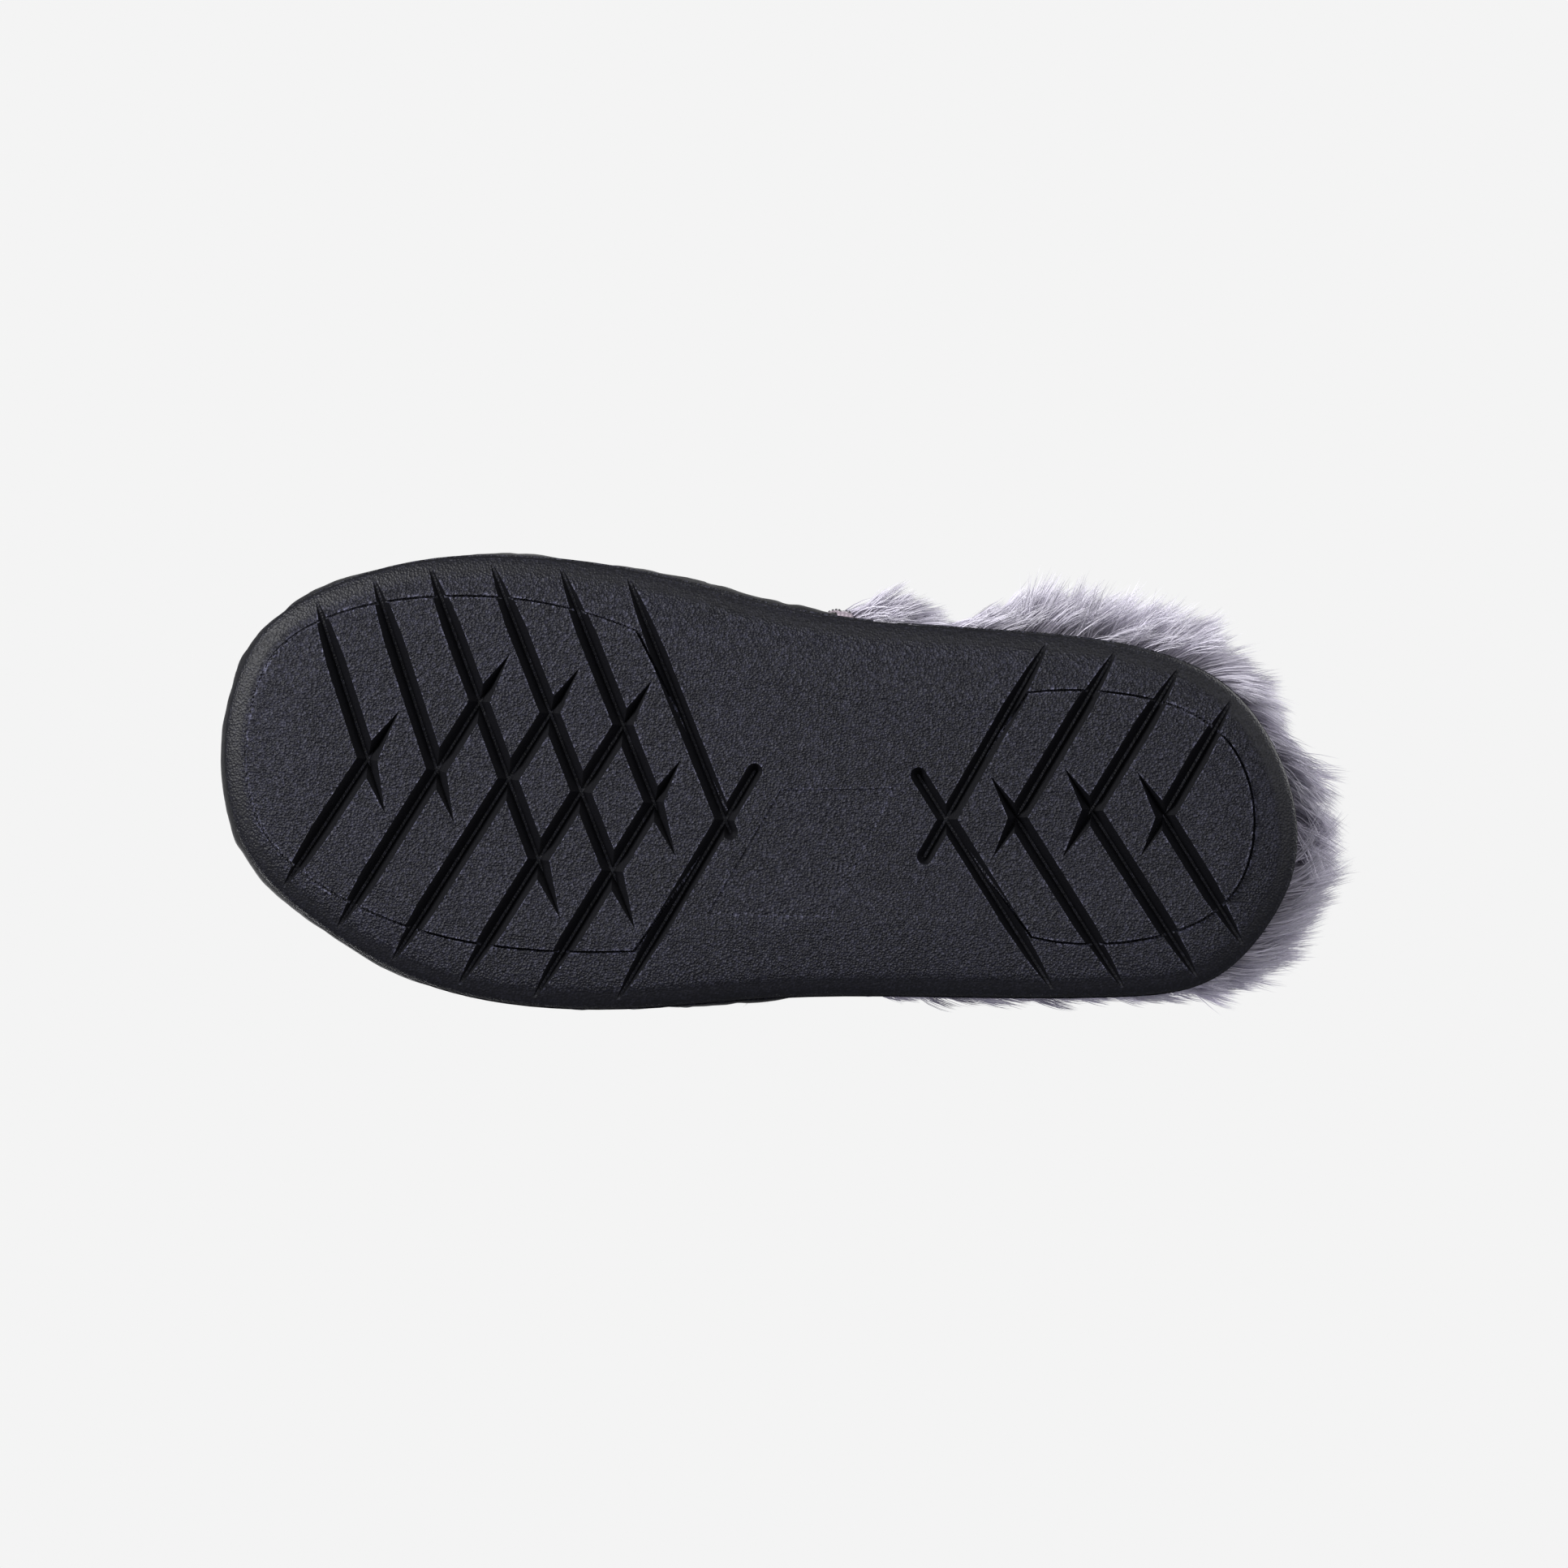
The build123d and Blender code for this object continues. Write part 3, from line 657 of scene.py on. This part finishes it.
def footbed_sheet(name):
    """Plush sock over the foam: dished under the heel and the ball, and rolled down at its edge."""
    rows, columns = 230, 26
    points, faces = [], []
    outs = np.linspace(0, 1, columns)
    for side in (MEDIAL, LATERAL):
        places = np.repeat(np.linspace(0.0, HEEL, rows)[:, None], columns, 1)
        edge = rim(side, places, BED_INSET)
        middle = (rim(LATERAL, places, BED_INSET) + rim(MEDIAL, places, BED_INSET)) / 2
        plan = middle + outs[None, :, None] * (edge - middle)
        from_edge = np.linalg.norm(edge - plan, axis=-1)
        along = plan[..., 1]
        hollow = sum(deep * np.exp(-(((along - y) / reach) ** 2)) for y, reach, deep in BED_HOLLOWS)
        rolled = BED_ROLL_DROP * (1 - rise(from_edge, 0, BED_ROLL_WIDTH))
        height = FOOTBED_TOP - hollow * rise(from_edge, 0, BED_HOLLOW_RIM) - rolled
        spot = np.concatenate([plan, height[..., None]], -1)
        spot[..., 2] += lumps(spot, BED_LUMPS)
        faces += grid_faces(rows, columns, start=len(points))
        points += spot.reshape(-1, 3).tolist()
    made = mesh_object(name, points, faces)
    weld(made)
    return made


vamp = front_sheet("vamp_cloth", vamp_surface, rows=220, columns=64)
thicken(vamp, 1.1)
place_piece(vamp, "vamp_fabric", vamp_cloth, "vamp")

vamp_inside = front_sheet("vamp_plush", plush_surface, rows=170, columns=60)
thicken(vamp_inside, LINING_THICK, offset=1.0)
place_piece(vamp_inside, "plush_lining", plush, "vamp_lining")

quarter_inside = rear_sheet("quarter_plush", plush_surface, rows=150, columns=48)
thicken(quarter_inside, LINING_THICK, offset=1.0)
place_piece(quarter_inside, "plush_lining", plush, "quarter_lining")

footbed = footbed_sheet("footbed_plush")
thicken(footbed, BED_THICK)
place_piece(footbed, "plush_lining", plush, "sock_liner")

backing = rear_sheet("fur_backing", backing_surface)
thicken(backing, 1.2)
place_piece(backing, "fur_pile", fur_ground)


# ---------------------------------------------------------------- side bindings
BINDING_WIDTH = 4.5
BINDING_SHIFT = -1.2  # place of the tape's middle line against the joint, forwards as positive
# The folded tape across its width, as (share of half the width, height over the upper)
TAPE_SECTION = [(-1, 0.0), (-0.96, 0.5), (-0.6, 0.85), (0, 0.7), (0.6, 0.85), (0.96, 0.5), (1, 0.0)]
STITCH_ROWS = (-2.5, 0.1)  # places of the rows of stitches, in the same way
STITCH_RADIUS = 0.28
STITCH_PROUD = 0.9
STITCH_PLUMP = (0.35, 0.95, 1.1, 0.95, 0.35)  # thickness along one stitch


def binding_line(side, shift, shares, proud):
    """Line down the side seam, moved forwards by shift and standing proud of the upper."""
    places = np.array([seam_place(side, [share], shift)[0] for share in shares])
    return shell(side, places, shares, -proud)


def binding(name, side):
    """Folded tape over the joint between vamp and fur, from the edge of the sole up to the opening."""
    shares = np.linspace(0.08, 1.0, 70)
    lines = [
        binding_line(side, across * BINDING_WIDTH / 2 + BINDING_SHIFT, shares, proud)
        for across, proud in TAPE_SECTION
    ]
    points = np.concatenate(lines)
    faces = grid_faces(len(lines), len(shares), wrap=True)
    made = mesh_object(name, points, faces)
    weld(made)
    round_off = made.modifiers.new("round", "SUBSURF")
    round_off.levels = round_off.render_levels = 1
    return made


def stitches(name, starts, ends, radius):
    """Short plump stitches between pairs of points."""
    sides, rings = 6, len(STITCH_PLUMP)
    turns = np.arange(sides) / sides * 2 * math.pi
    way = unit(ends - starts)
    across = unit(np.cross(way, [0.3, 0.2, 0.9]))
    outward = np.cross(way, across)
    circle = across[:, None] * np.cos(turns)[None, :, None] + outward[:, None] * np.sin(turns)[None, :, None]
    points, faces = [], []
    for k, plump in enumerate(STITCH_PLUMP):
        middle = starts + (ends - starts) * k / (rings - 1)
        points.append(middle[:, None] + circle * plump * radius)
    points = np.stack(points, 1)
    for i in range(len(starts)):
        first = i * rings * sides
        for k in range(rings - 1):
            for j in range(sides):
                here, beside = first + k * sides + j, first + k * sides + (j + 1) % sides
                faces.append((here, beside, beside + sides, here + sides))
        faces.append(tuple(range(first, first + sides)))
        faces.append(tuple(range(first + (rings - 1) * sides, first + rings * sides)))
    return mesh_object(name, points.reshape(-1, 3), faces)


seam_starts, seam_ends, tapes = [], [], []
for side, label in ((MEDIAL, "medial"), (LATERAL, "lateral")):
    tape = binding(f"binding_tape_{label}", side)
    place_piece(tape, "binding_tape", tape_cloth, f"side_binding_{label}")
    tapes.append(tape)
    for row in STITCH_ROWS:
        line = binding_line(side, row, np.linspace(0.14, 0.98, 41), STITCH_PROUD)
        seam_starts.append(line[0:-1:2])
        seam_ends.append(line[1::2])
seam_starts, seam_ends = np.concatenate(seam_starts), np.concatenate(seam_ends)
sewn = stitches("binding_stitches", seam_starts, seam_ends, STITCH_RADIUS)
place_piece(sewn, "thread", thread_cloth, "seam_stitches")


# ---------------------------------------------------------------- fur
JOINTS = 4  # pieces of a strand
PER_STRAND = 2 * JOINTS + 1
STRAND_WIDTH = 0.23
TAPER = np.array([0.85, 1.0, 0.9, 0.6])  # share of that width at each joint, before the pointed tip
TUFT = 28  # strands that lean together
GATHER = 0.55  # share of the way that their tips move together


def frame_of(surface, sides, places, shares):
    """Points, outward normals and the ways up and to the heel on a surface of the upper."""
    step = 0.01
    here = on_sides(surface, sides, places, shares)
    heelward = unit(on_sides(surface, sides, places + step, shares) - here)
    upward = unit(on_sides(surface, sides, places, shares + step) - here)
    normal = unit(np.cross(upward, heelward) * sides[..., None])
    return here, normal, upward, heelward


def nearest(points, targets):
    """For each point, the nearest target's number and distance."""
    number, distance = np.empty(len(points), int), np.empty(len(points))
    for start in range(0, len(points), 4000):
        part = slice(start, start + 4000)
        gaps = np.linalg.norm(points[part, None] - targets[None], axis=-1)
        number[part] = gaps.argmin(1)
        distance[part] = gaps.min(1)
    return number, distance


def strand_spines(roots, lift, lay, length, tone, spread, random):
    """Centre lines of strands that start along lift, bend over to lay and gather into tufts."""
    count = len(roots)
    heads = random.choice(count, max(int(count / TUFT), 1), replace=False)
    owner, _ = nearest(roots, roots[heads])
    turn = random.normal(0, 0.22, (len(heads), 3))[owner] * spread[:, None]
    length = length * random.uniform(0.82, 1.12, len(heads))[owner] * random.uniform(0.78, 1.04, count)
    tone = tone + random.normal(0, 0.12, len(heads))[owner] + random.normal(0, 0.24, count)
    lay = unit(lay + turn + random.normal(0, 0.15, (count, 3)) * spread[:, None])
    lift = unit(lift + 0.5 * turn + random.normal(0, 0.12, (count, 3)) * spread[:, None])
    line = [roots]
    for k in range(JOINTS):
        bend = ((k + 1) / JOINTS) ** 0.8
        line.append(line[-1] + unit(lift * (1 - bend) + lay * bend) * (length / JOINTS)[:, None])
    line = np.stack(line, 1)
    tips = line[:, -1]
    centre = np.zeros((len(heads), 3))
    np.add.at(centre, owner, tips)
    centre /= np.maximum(np.bincount(owner, minlength=len(heads)), 1)[:, None]
    steps = np.linspace(0, 1, JOINTS + 1)
    pull = GATHER * steps[None, :, None] ** 1.6 * random.uniform(0.4, 1, (count, 1, 1))
    return line + pull * (centre[owner] - tips)[:, None], np.clip(tone, 0, 1)


def bake_cells(mesh, count):
    """Gives each strand its own small cell of an image, in the UV layer OFBake."""
    across = math.ceil(math.sqrt(count))
    column, row = np.arange(count) % across, np.arange(count) // across
    u, v = np.empty(PER_STRAND), np.empty(PER_STRAND)
    u[0:-1:2], u[1::2], u[-1] = 0.25, 0.75, 0.5
    v[0:-1:2] = v[1::2] = 0.12 + 0.76 * np.arange(JOINTS) / JOINTS
    v[-1] = 0.88
    spots = np.stack([column[:, None] + u, row[:, None] + v], -1).reshape(-1, 2) / across
    corners = np.empty(len(mesh.loops), int)
    mesh.loops.foreach_get("vertex_index", corners)
    mesh.uv_layers.new(name="OFBake").data.foreach_set("uv", spots[corners].ravel())


def strands(name, roots, lift, lay, length, tone, seed, spread=1.0):
    """Pile as tapered ribbons, untidier with a larger spread."""
    random = np.random.default_rng(seed)
    count = len(roots)
    spread = np.broadcast_to(spread, count)
    spine, tone = strand_spines(roots, lift, lay, length, tone, spread, random)
    axis = unit(spine[:, -1] - spine[:, 0])
    side = unit(np.cross(axis, random.normal(0, 1, (count, 3))))
    half = STRAND_WIDTH / 2 * TAPER[None, :, None]
    points = np.empty((count, PER_STRAND, 3))
    points[:, 0:-1:2] = spine[:, :-1] - side[:, None] * half
    points[:, 1::2] = spine[:, :-1] + side[:, None] * half
    points[:, -1] = spine[:, -1]
    firsts = np.arange(count)[:, None, None] * PER_STRAND
    quads = firsts + np.array([(2 * k, 2 * k + 1, 2 * k + 3, 2 * k + 2) for k in range(JOINTS - 1)])
    tips = firsts + np.array([(2 * JOINTS - 2, 2 * JOINTS - 1, 2 * JOINTS)])
    corners = np.concatenate([quads.ravel(), tips.ravel()])
    sizes = np.concatenate([np.full(quads.size // 4, 4), np.full(count, 3)])
    mesh = bpy.data.meshes.new(name)
    mesh.vertices.add(count * PER_STRAND)
    mesh.vertices.foreach_set("co", framed(points.reshape(-1, 3)).ravel())
    mesh.loops.add(len(corners))
    mesh.loops.foreach_set("vertex_index", corners)
    mesh.polygons.add(len(sizes))
    mesh.polygons.foreach_set("loop_start", np.concatenate([[0], np.cumsum(sizes)[:-1]]))
    mesh.polygons.foreach_set("use_smooth", [True] * len(sizes))
    mesh.update(calc_edges=True)
    mesh.validate()
    along = np.empty(PER_STRAND)
    along[0:-1:2] = along[1::2] = np.arange(JOINTS) / JOINTS
    along[-1] = 1
    for key, values in (("along", np.tile(along, count)), ("tone", np.repeat(tone, PER_STRAND))):
        mesh.attributes.new(key, "FLOAT", "POINT").data.foreach_set("value", values)
    bake_cells(mesh, count)
    made = bpy.data.objects.new(name, mesh)
    bpy.context.scene.collection.objects.link(made)
    return made


def patchy_tone(points, middle, size, seed):
    """Tone of each strand, lighter and darker in patches of a given size."""
    return middle + 0.14 * value_noise(points, size, seed)


def scatter(count, sides, places, shares, surface):
    """Random spots on a grid of the surface, evenly by area: side, place and share of each."""
    points = on_sides(surface, sides, places, shares)
    a = points[1:, :-1] - points[:-1, :-1]
    b = points[:-1, 1:] - points[:-1, :-1]
    area = np.linalg.norm(np.cross(a, b), axis=-1)
    cells = rng.choice(area.size, count, p=(area / area.sum()).ravel())
    i, j = np.unravel_index(cells, area.shape)
    u, v = rng.random(count), rng.random(count)

    def spread(values):
        low = values[i, j] * (1 - u) + values[i + 1, j] * u
        high = values[i, j + 1] * (1 - u) + values[i + 1, j + 1] * u
        return low * (1 - v) + high * v

    return sides[i, j], spread(places), spread(shares)


# How flat the pile is pressed along each side, as (y, share)
PRESSED = {
    MEDIAL: [
        (-150, 0.3), (-126, 0.35), (-120, 0.76), (-108, 0.4), (-96, 0), (-62, 0), (-54, 0.3), (-46, 0.6),
        (-37, 0.9), (-32, 0.65), (-26, 0.15), (-22, 0.2), (-18, 0.75), (-12, 0.9),
    ],
    LATERAL: [
        (-150, 0.6), (-126, 0.22), (-118, 0.3), (-110, 0.6), (-100, 0.96), (-60, 0.94), (-32, 0.85),
        (-20, 1), (-8, 1),
    ],
}
QUARTER_STRANDS = 28000
QUARTER_PILE = 20.7  # length of a free strand at the heel
PILE_LOSS = 0.3  # share by which pressed strands are shorter, and those near the seam too
PILE_LOSS_FROM = (-66, 50)  # y where they start to shorten, and over what length


def quarter_fur(label, side):
    """Long pile on one side of the back, combed towards the heel."""
    shares = np.linspace(0.12, 1, 24)
    sides, places = rear_grid(shares, rows=80, shift=-2.6)
    keep = sides[:, 0] == side
    share_grid = np.broadcast_to(shares, places.shape)
    spots = scatter(QUARTER_STRANDS, sides[keep], places[keep], share_grid[keep], shell)
    here, normal, upward, heelward = frame_of(shell, *spots)
    pressed = np.interp(here[:, 1], *zip(*PRESSED[side]))[:, None]
    high = spots[2][:, None]
    lift = normal * (1 - 0.9 * pressed) + heelward * 0.35 + upward * 0.1
    lay = normal * (0.66 - 0.7 * pressed) + heelward * (0.7 + 0.25 * pressed) + upward * (0.35 * high - 0.28)
    shorter = PILE_LOSS * rise(here[:, 1], *PILE_LOSS_FROM)
    length = QUARTER_PILE * (1 - PILE_LOSS * pressed[:, 0]) * (1 - shorter)
    tone = patchy_tone(here, 0.5, 14.0, seed=3)
    spread = 1 - 0.6 * pressed[:, 0]
    made = strands(f"fur_pile_{label}", here, lift, lay, length, tone, seed=12 + side, spread=spread)
    place_piece(made, "fur_pile", fur_colour, f"fur_quarter_{label}")
    return made


piles = [quarter_fur("medial", MEDIAL), quarter_fur("lateral", LATERAL)]


# ---------------------------------------------------------------- the fur round the foot opening
OPENING_START = THROAT + 0.02  # the opening's line starts just behind the throat
OPENING_POINTS = 280
OPENING_SMOOTHINGS = 12
ROLL_RADIUS = 4.2
ROLL_SINK = 0.9  # the roll's middle lies this far under the topline
ROLL_PULL = 2.2  # and this far back from it across the throat
ROLL_STRANDS = 17000
ROLL_PILE_INSIDE, ROLL_PILE_OUTSIDE = 8.5, 13.0
CUFF_STRANDS = 22000
CUFF_WIDTH = 19.0
CUFF_PILE = 14.0  # at the opening
CUFF_PILE_LOSS = 4  # shorter by this at the cuff's outer edge


def opening_line(surface):
    """Closed line round the foot opening, from the throat round the heel and back, evenly spaced."""
    run = OPENING_START + (HEEL - OPENING_START) * np.linspace(0, 1, OPENING_POINTS) ** 1.5
    medial = surface(MEDIAL, run, np.ones_like(run))
    lateral = surface(LATERAL, run, np.ones_like(run))
    line = np.concatenate([medial, lateral[::-1][1:]])
    line = np.concatenate([line, line[:1]])
    gone = np.concatenate([[0], np.cumsum(np.linalg.norm(np.diff(line, axis=0), axis=1))])
    even = np.linspace(0, gone[-1], OPENING_POINTS, endpoint=False)
    line = np.stack([np.interp(even, gone, line[:, axis]) for axis in range(3)], 1)
    for _ in range(OPENING_SMOOTHINGS):
        line = (np.roll(line, 1, 0) + 2 * line + np.roll(line, -1, 0)) / 4
    return line


def roll_frame():
    """Centre line of the soft roll round the opening, with the ways out of the foot hole and up."""
    line = opening_line(lambda side, place, share: upper(side, place, share, LINING_DEPTH / 2))
    line[:, 2] -= ROLL_SINK
    line[:, 1] -= ROLL_PULL * rise(line[:, 1], 4, 14)
    along = unit(np.roll(line, -1, 0) - np.roll(line, 1, 0))
    upward = unit(np.array([0, 0, 1]) - along * along[:, 2:3])
    return line, np.cross(along, upward) * -1, upward


def roll_point(line, outward, upward, number, turn, radius):
    """Points round the roll: turn 0 faces away from the foot hole and a quarter turn faces up."""
    first = number.astype(int) % len(line)
    part, then = (number % 1)[..., None], (first + 1) % len(line)
    centre, out, up = ((1 - part) * values[first] + part * values[then] for values in (line, outward, upward))
    way = out * np.cos(turn)[..., None] + up * np.sin(turn)[..., None]
    return centre + way * radius, way, out


def collar_roll(name):
    """Stuffed roll that closes the upper's edge round the foot opening."""
    line, outward, upward = roll_frame()
    around = 20
    number = np.repeat(np.arange(len(line))[:, None], around + 1, 1).astype(float)
    turn = np.repeat(np.linspace(0, 2 * math.pi, around + 1)[None], len(line), 0)
    points, _, _ = roll_point(line, outward, upward, number, turn, ROLL_RADIUS)
    made = mesh_object(name, points.reshape(-1, 3), grid_faces(len(line), around + 1, wrap=True))
    weld(made)
    return made


def collar_fur(name):
    """Pile on the roll, which fans out from its crest to both sides."""
    line, outward, upward = roll_frame()
    number = rng.uniform(0, len(line), ROLL_STRANDS)
    turn = rng.uniform(-0.5, math.pi + 0.6, ROLL_STRANDS)
    here, way, out = roll_point(line, outward, upward, number, turn, ROLL_RADIUS - 0.3)
    along = unit(line[(number.astype(int) + 1) % len(line)] - line[number.astype(int) % len(line)])
    heelward = along * -np.sign(along[:, 1:2])
    inner = (np.cos(turn) < 0)[:, None]
    lay = way * 0.75 + heelward * 0.35 + np.where(inner, -out * 0.25, out * 0.4)
    length = np.where(inner[:, 0], ROLL_PILE_INSIDE, ROLL_PILE_OUTSIDE)
    tone = patchy_tone(here, 0.52, 12.0, seed=21)
    return strands(name, here, way, lay, length, tone, seed=31)


def cuff_fur(name):
    """Pile across the throat of the vamp, combed away from the opening."""
    shares = np.linspace(0.3, 1, 40)
    parts = []
    for side in (MEDIAL, LATERAL):
        places = front_places(side, shares, 80, shift=1.5)
        grid = np.broadcast_to(shares, places.shape)
        parts.append(scatter(4 * CUFF_STRANDS, np.full(places.shape, side), places, grid, shell))
    spots = [np.concatenate(values) for values in zip(*parts)]
    here, normal, _, _ = frame_of(shell, *spots)
    edge = opening_line(shell)
    number, distance = nearest(here, edge)
    keep = np.nonzero(distance < CUFF_WIDTH * rng.uniform(0.8, 1.0, len(here)))[0]
    keep = rng.choice(keep, min(CUFF_STRANDS, len(keep)), replace=False)
    here, normal = here[keep], normal[keep]
    away = unit(here - edge[number[keep]])
    sideways = np.abs(normal[:, :1])
    lay = away * 0.85 + normal * (0.42 - 0.36 * sideways)
    lift = normal * (1 - 0.5 * sideways) + away * 0.3
    tone = patchy_tone(here, 0.5, 14.0, seed=22)
    length = CUFF_PILE - CUFF_PILE_LOSS * rise(distance[keep], 0, CUFF_WIDTH)
    return strands(name, here, lift, lay, length, tone, seed=32)


roll = collar_roll("collar_roll")
place_piece(roll, "fur_pile", fur_ground)
place_piece(collar_fur("fur_pile_collar"), "fur_pile", fur_colour)
cuff = cuff_fur("fur_pile_cuff")
place_piece(cuff, "fur_pile", fur_colour, "fur_throat_cuff")


# ---------------------------------------------------------------- camera, light and floor
PIXEL = 0.2 * MM  # size of a pixel of the frame at the sole
FRAME_PIXELS = 1932
CAMERA_DISTANCE = 2.6
CAMERA_AIM = (-3.4, -5.2, 0)  # the point in the middle of the view, in millimetres
ROLL = math.radians(3.5)
SENSOR = 36.0
SURROUNDINGS = (244, 244, 244)  # as the camera sees them
SKY = (232, 234, 248)  # as they light the slipper
FLOOR = (238, 238, 238)
FLOOR_REACH = 3000
FLOOR_DROP = 0.05

# Name, place, aim, size in metres and power in watts
LIGHTS = [
    ("sole_key", (-0.36, 0.7, -0.52), (0, 0, 0), 0.3, 11.2),
    ("heel_fill", (-0.5, -0.75, -0.9), (0, -0.1, 0.03), 0.8, 6.5),
    ("top_key", (0.7, 0.6, 1.3), (0, 0, 0.04), 0.9, 26),
    ("top_fill", (-0.7, -1.0, 0.8), (0, 0, 0.04), 1.0, 16),
]


def make_camera():
    """Camera square on to the sole from below, toe to the left, inner side up."""
    data = bpy.data.cameras.new("camera")
    data.sensor_width = SENSOR
    data.lens = SENSOR * CAMERA_DISTANCE / (FRAME_PIXELS * PIXEL)
    data.clip_start, data.clip_end = 0.05, 20
    made = bpy.data.objects.new("camera", data)
    right = Vector((-math.sin(ROLL), -math.cos(ROLL), 0))
    up = Vector((-math.cos(ROLL), math.sin(ROLL), 0))
    back = right.cross(up)
    aim = framed([CAMERA_AIM])[0]
    turn = Matrix((right, up, back)).transposed().to_4x4()
    made.matrix_world = Matrix.Translation(Vector(aim) + back * CAMERA_DISTANCE) @ turn
    bpy.context.scene.collection.objects.link(made)
    bpy.context.scene.camera = made


def area_light(name, place, target, size, power):
    """Square soft light."""
    data = bpy.data.lights.new(name, "AREA")
    data.size, data.energy = size, power
    made = bpy.data.objects.new(name, data)
    made.location = place
    made.rotation_euler = (Vector(target) - Vector(place)).to_track_quat("-Z", "Y").to_euler()
    bpy.context.scene.collection.objects.link(made)


def make_world():
    """Pale surroundings, seen brighter than they light."""
    world = bpy.data.worlds.new("world")
    bpy.context.scene.world = world
    world.use_nodes = True
    tree = world.node_tree
    tree.nodes.clear()
    seen = add_node(tree, "ShaderNodeBackground", Color=(*srgb(*SURROUNDINGS), 1), Strength=1.0)
    fill = add_node(tree, "ShaderNodeBackground", Color=(*srgb(*SKY), 1), Strength=0.25)
    path = add_node(tree, "ShaderNodeLightPath")
    mix = add_node(tree, "ShaderNodeMixShader")
    out = add_node(tree, "ShaderNodeOutputWorld")
    tree.links.new(path.outputs["Is Camera Ray"], mix.inputs[0])
    tree.links.new(fill.outputs[0], mix.inputs[1])
    tree.links.new(seen.outputs[0], mix.inputs[2])
    tree.links.new(mix.outputs[0], out.inputs["Surface"])


def make_floor():
    """Pale floor under the tread, clear from below and to the light, so the sole can be seen and lit."""
    signs = ((-1, -1), (1, -1), (1, 1), (-1, 1))
    corners = [(x * FLOOR_REACH, y * FLOOR_REACH, -FLOOR_DROP) for x, y in signs]
    made = mesh_object("floor", corners, [(0, 1, 2, 3)])
    look = bpy.data.materials.new("floor")
    look.use_nodes = True
    tree = look.node_tree
    shader = tree.nodes["Principled BSDF"]
    shader.inputs["Base Color"].default_value = (*srgb(*FLOOR), 1)
    shader.inputs["Roughness"].default_value = 0.9
    shader.inputs["Emission Color"].default_value = (1, 1, 1, 1)
    shader.inputs["Emission Strength"].default_value = 0.45
    clear = add_node(tree, "ShaderNodeBsdfTransparent")
    path = add_node(tree, "ShaderNodeLightPath")
    side = add_node(tree, "ShaderNodeNewGeometry")
    front = calculate(tree, "SUBTRACT", 1.0, side.outputs["Backfacing"])
    shown = calculate(tree, "MULTIPLY", front, path.outputs["Is Camera Ray"])
    mix = add_node(tree, "ShaderNodeMixShader")
    tree.links.new(shown, mix.inputs[0])
    tree.links.new(clear.outputs[0], mix.inputs[1])
    tree.links.new(shader.outputs[0], mix.inputs[2])
    tree.links.new(mix.outputs[0], tree.nodes["Material Output"].inputs["Surface"])
    made.data.materials.append(look)


make_camera()
make_world()
make_floor()
for light in LIGHTS:
    area_light(*light)
bpy.context.scene.view_settings.view_transform = "Standard"
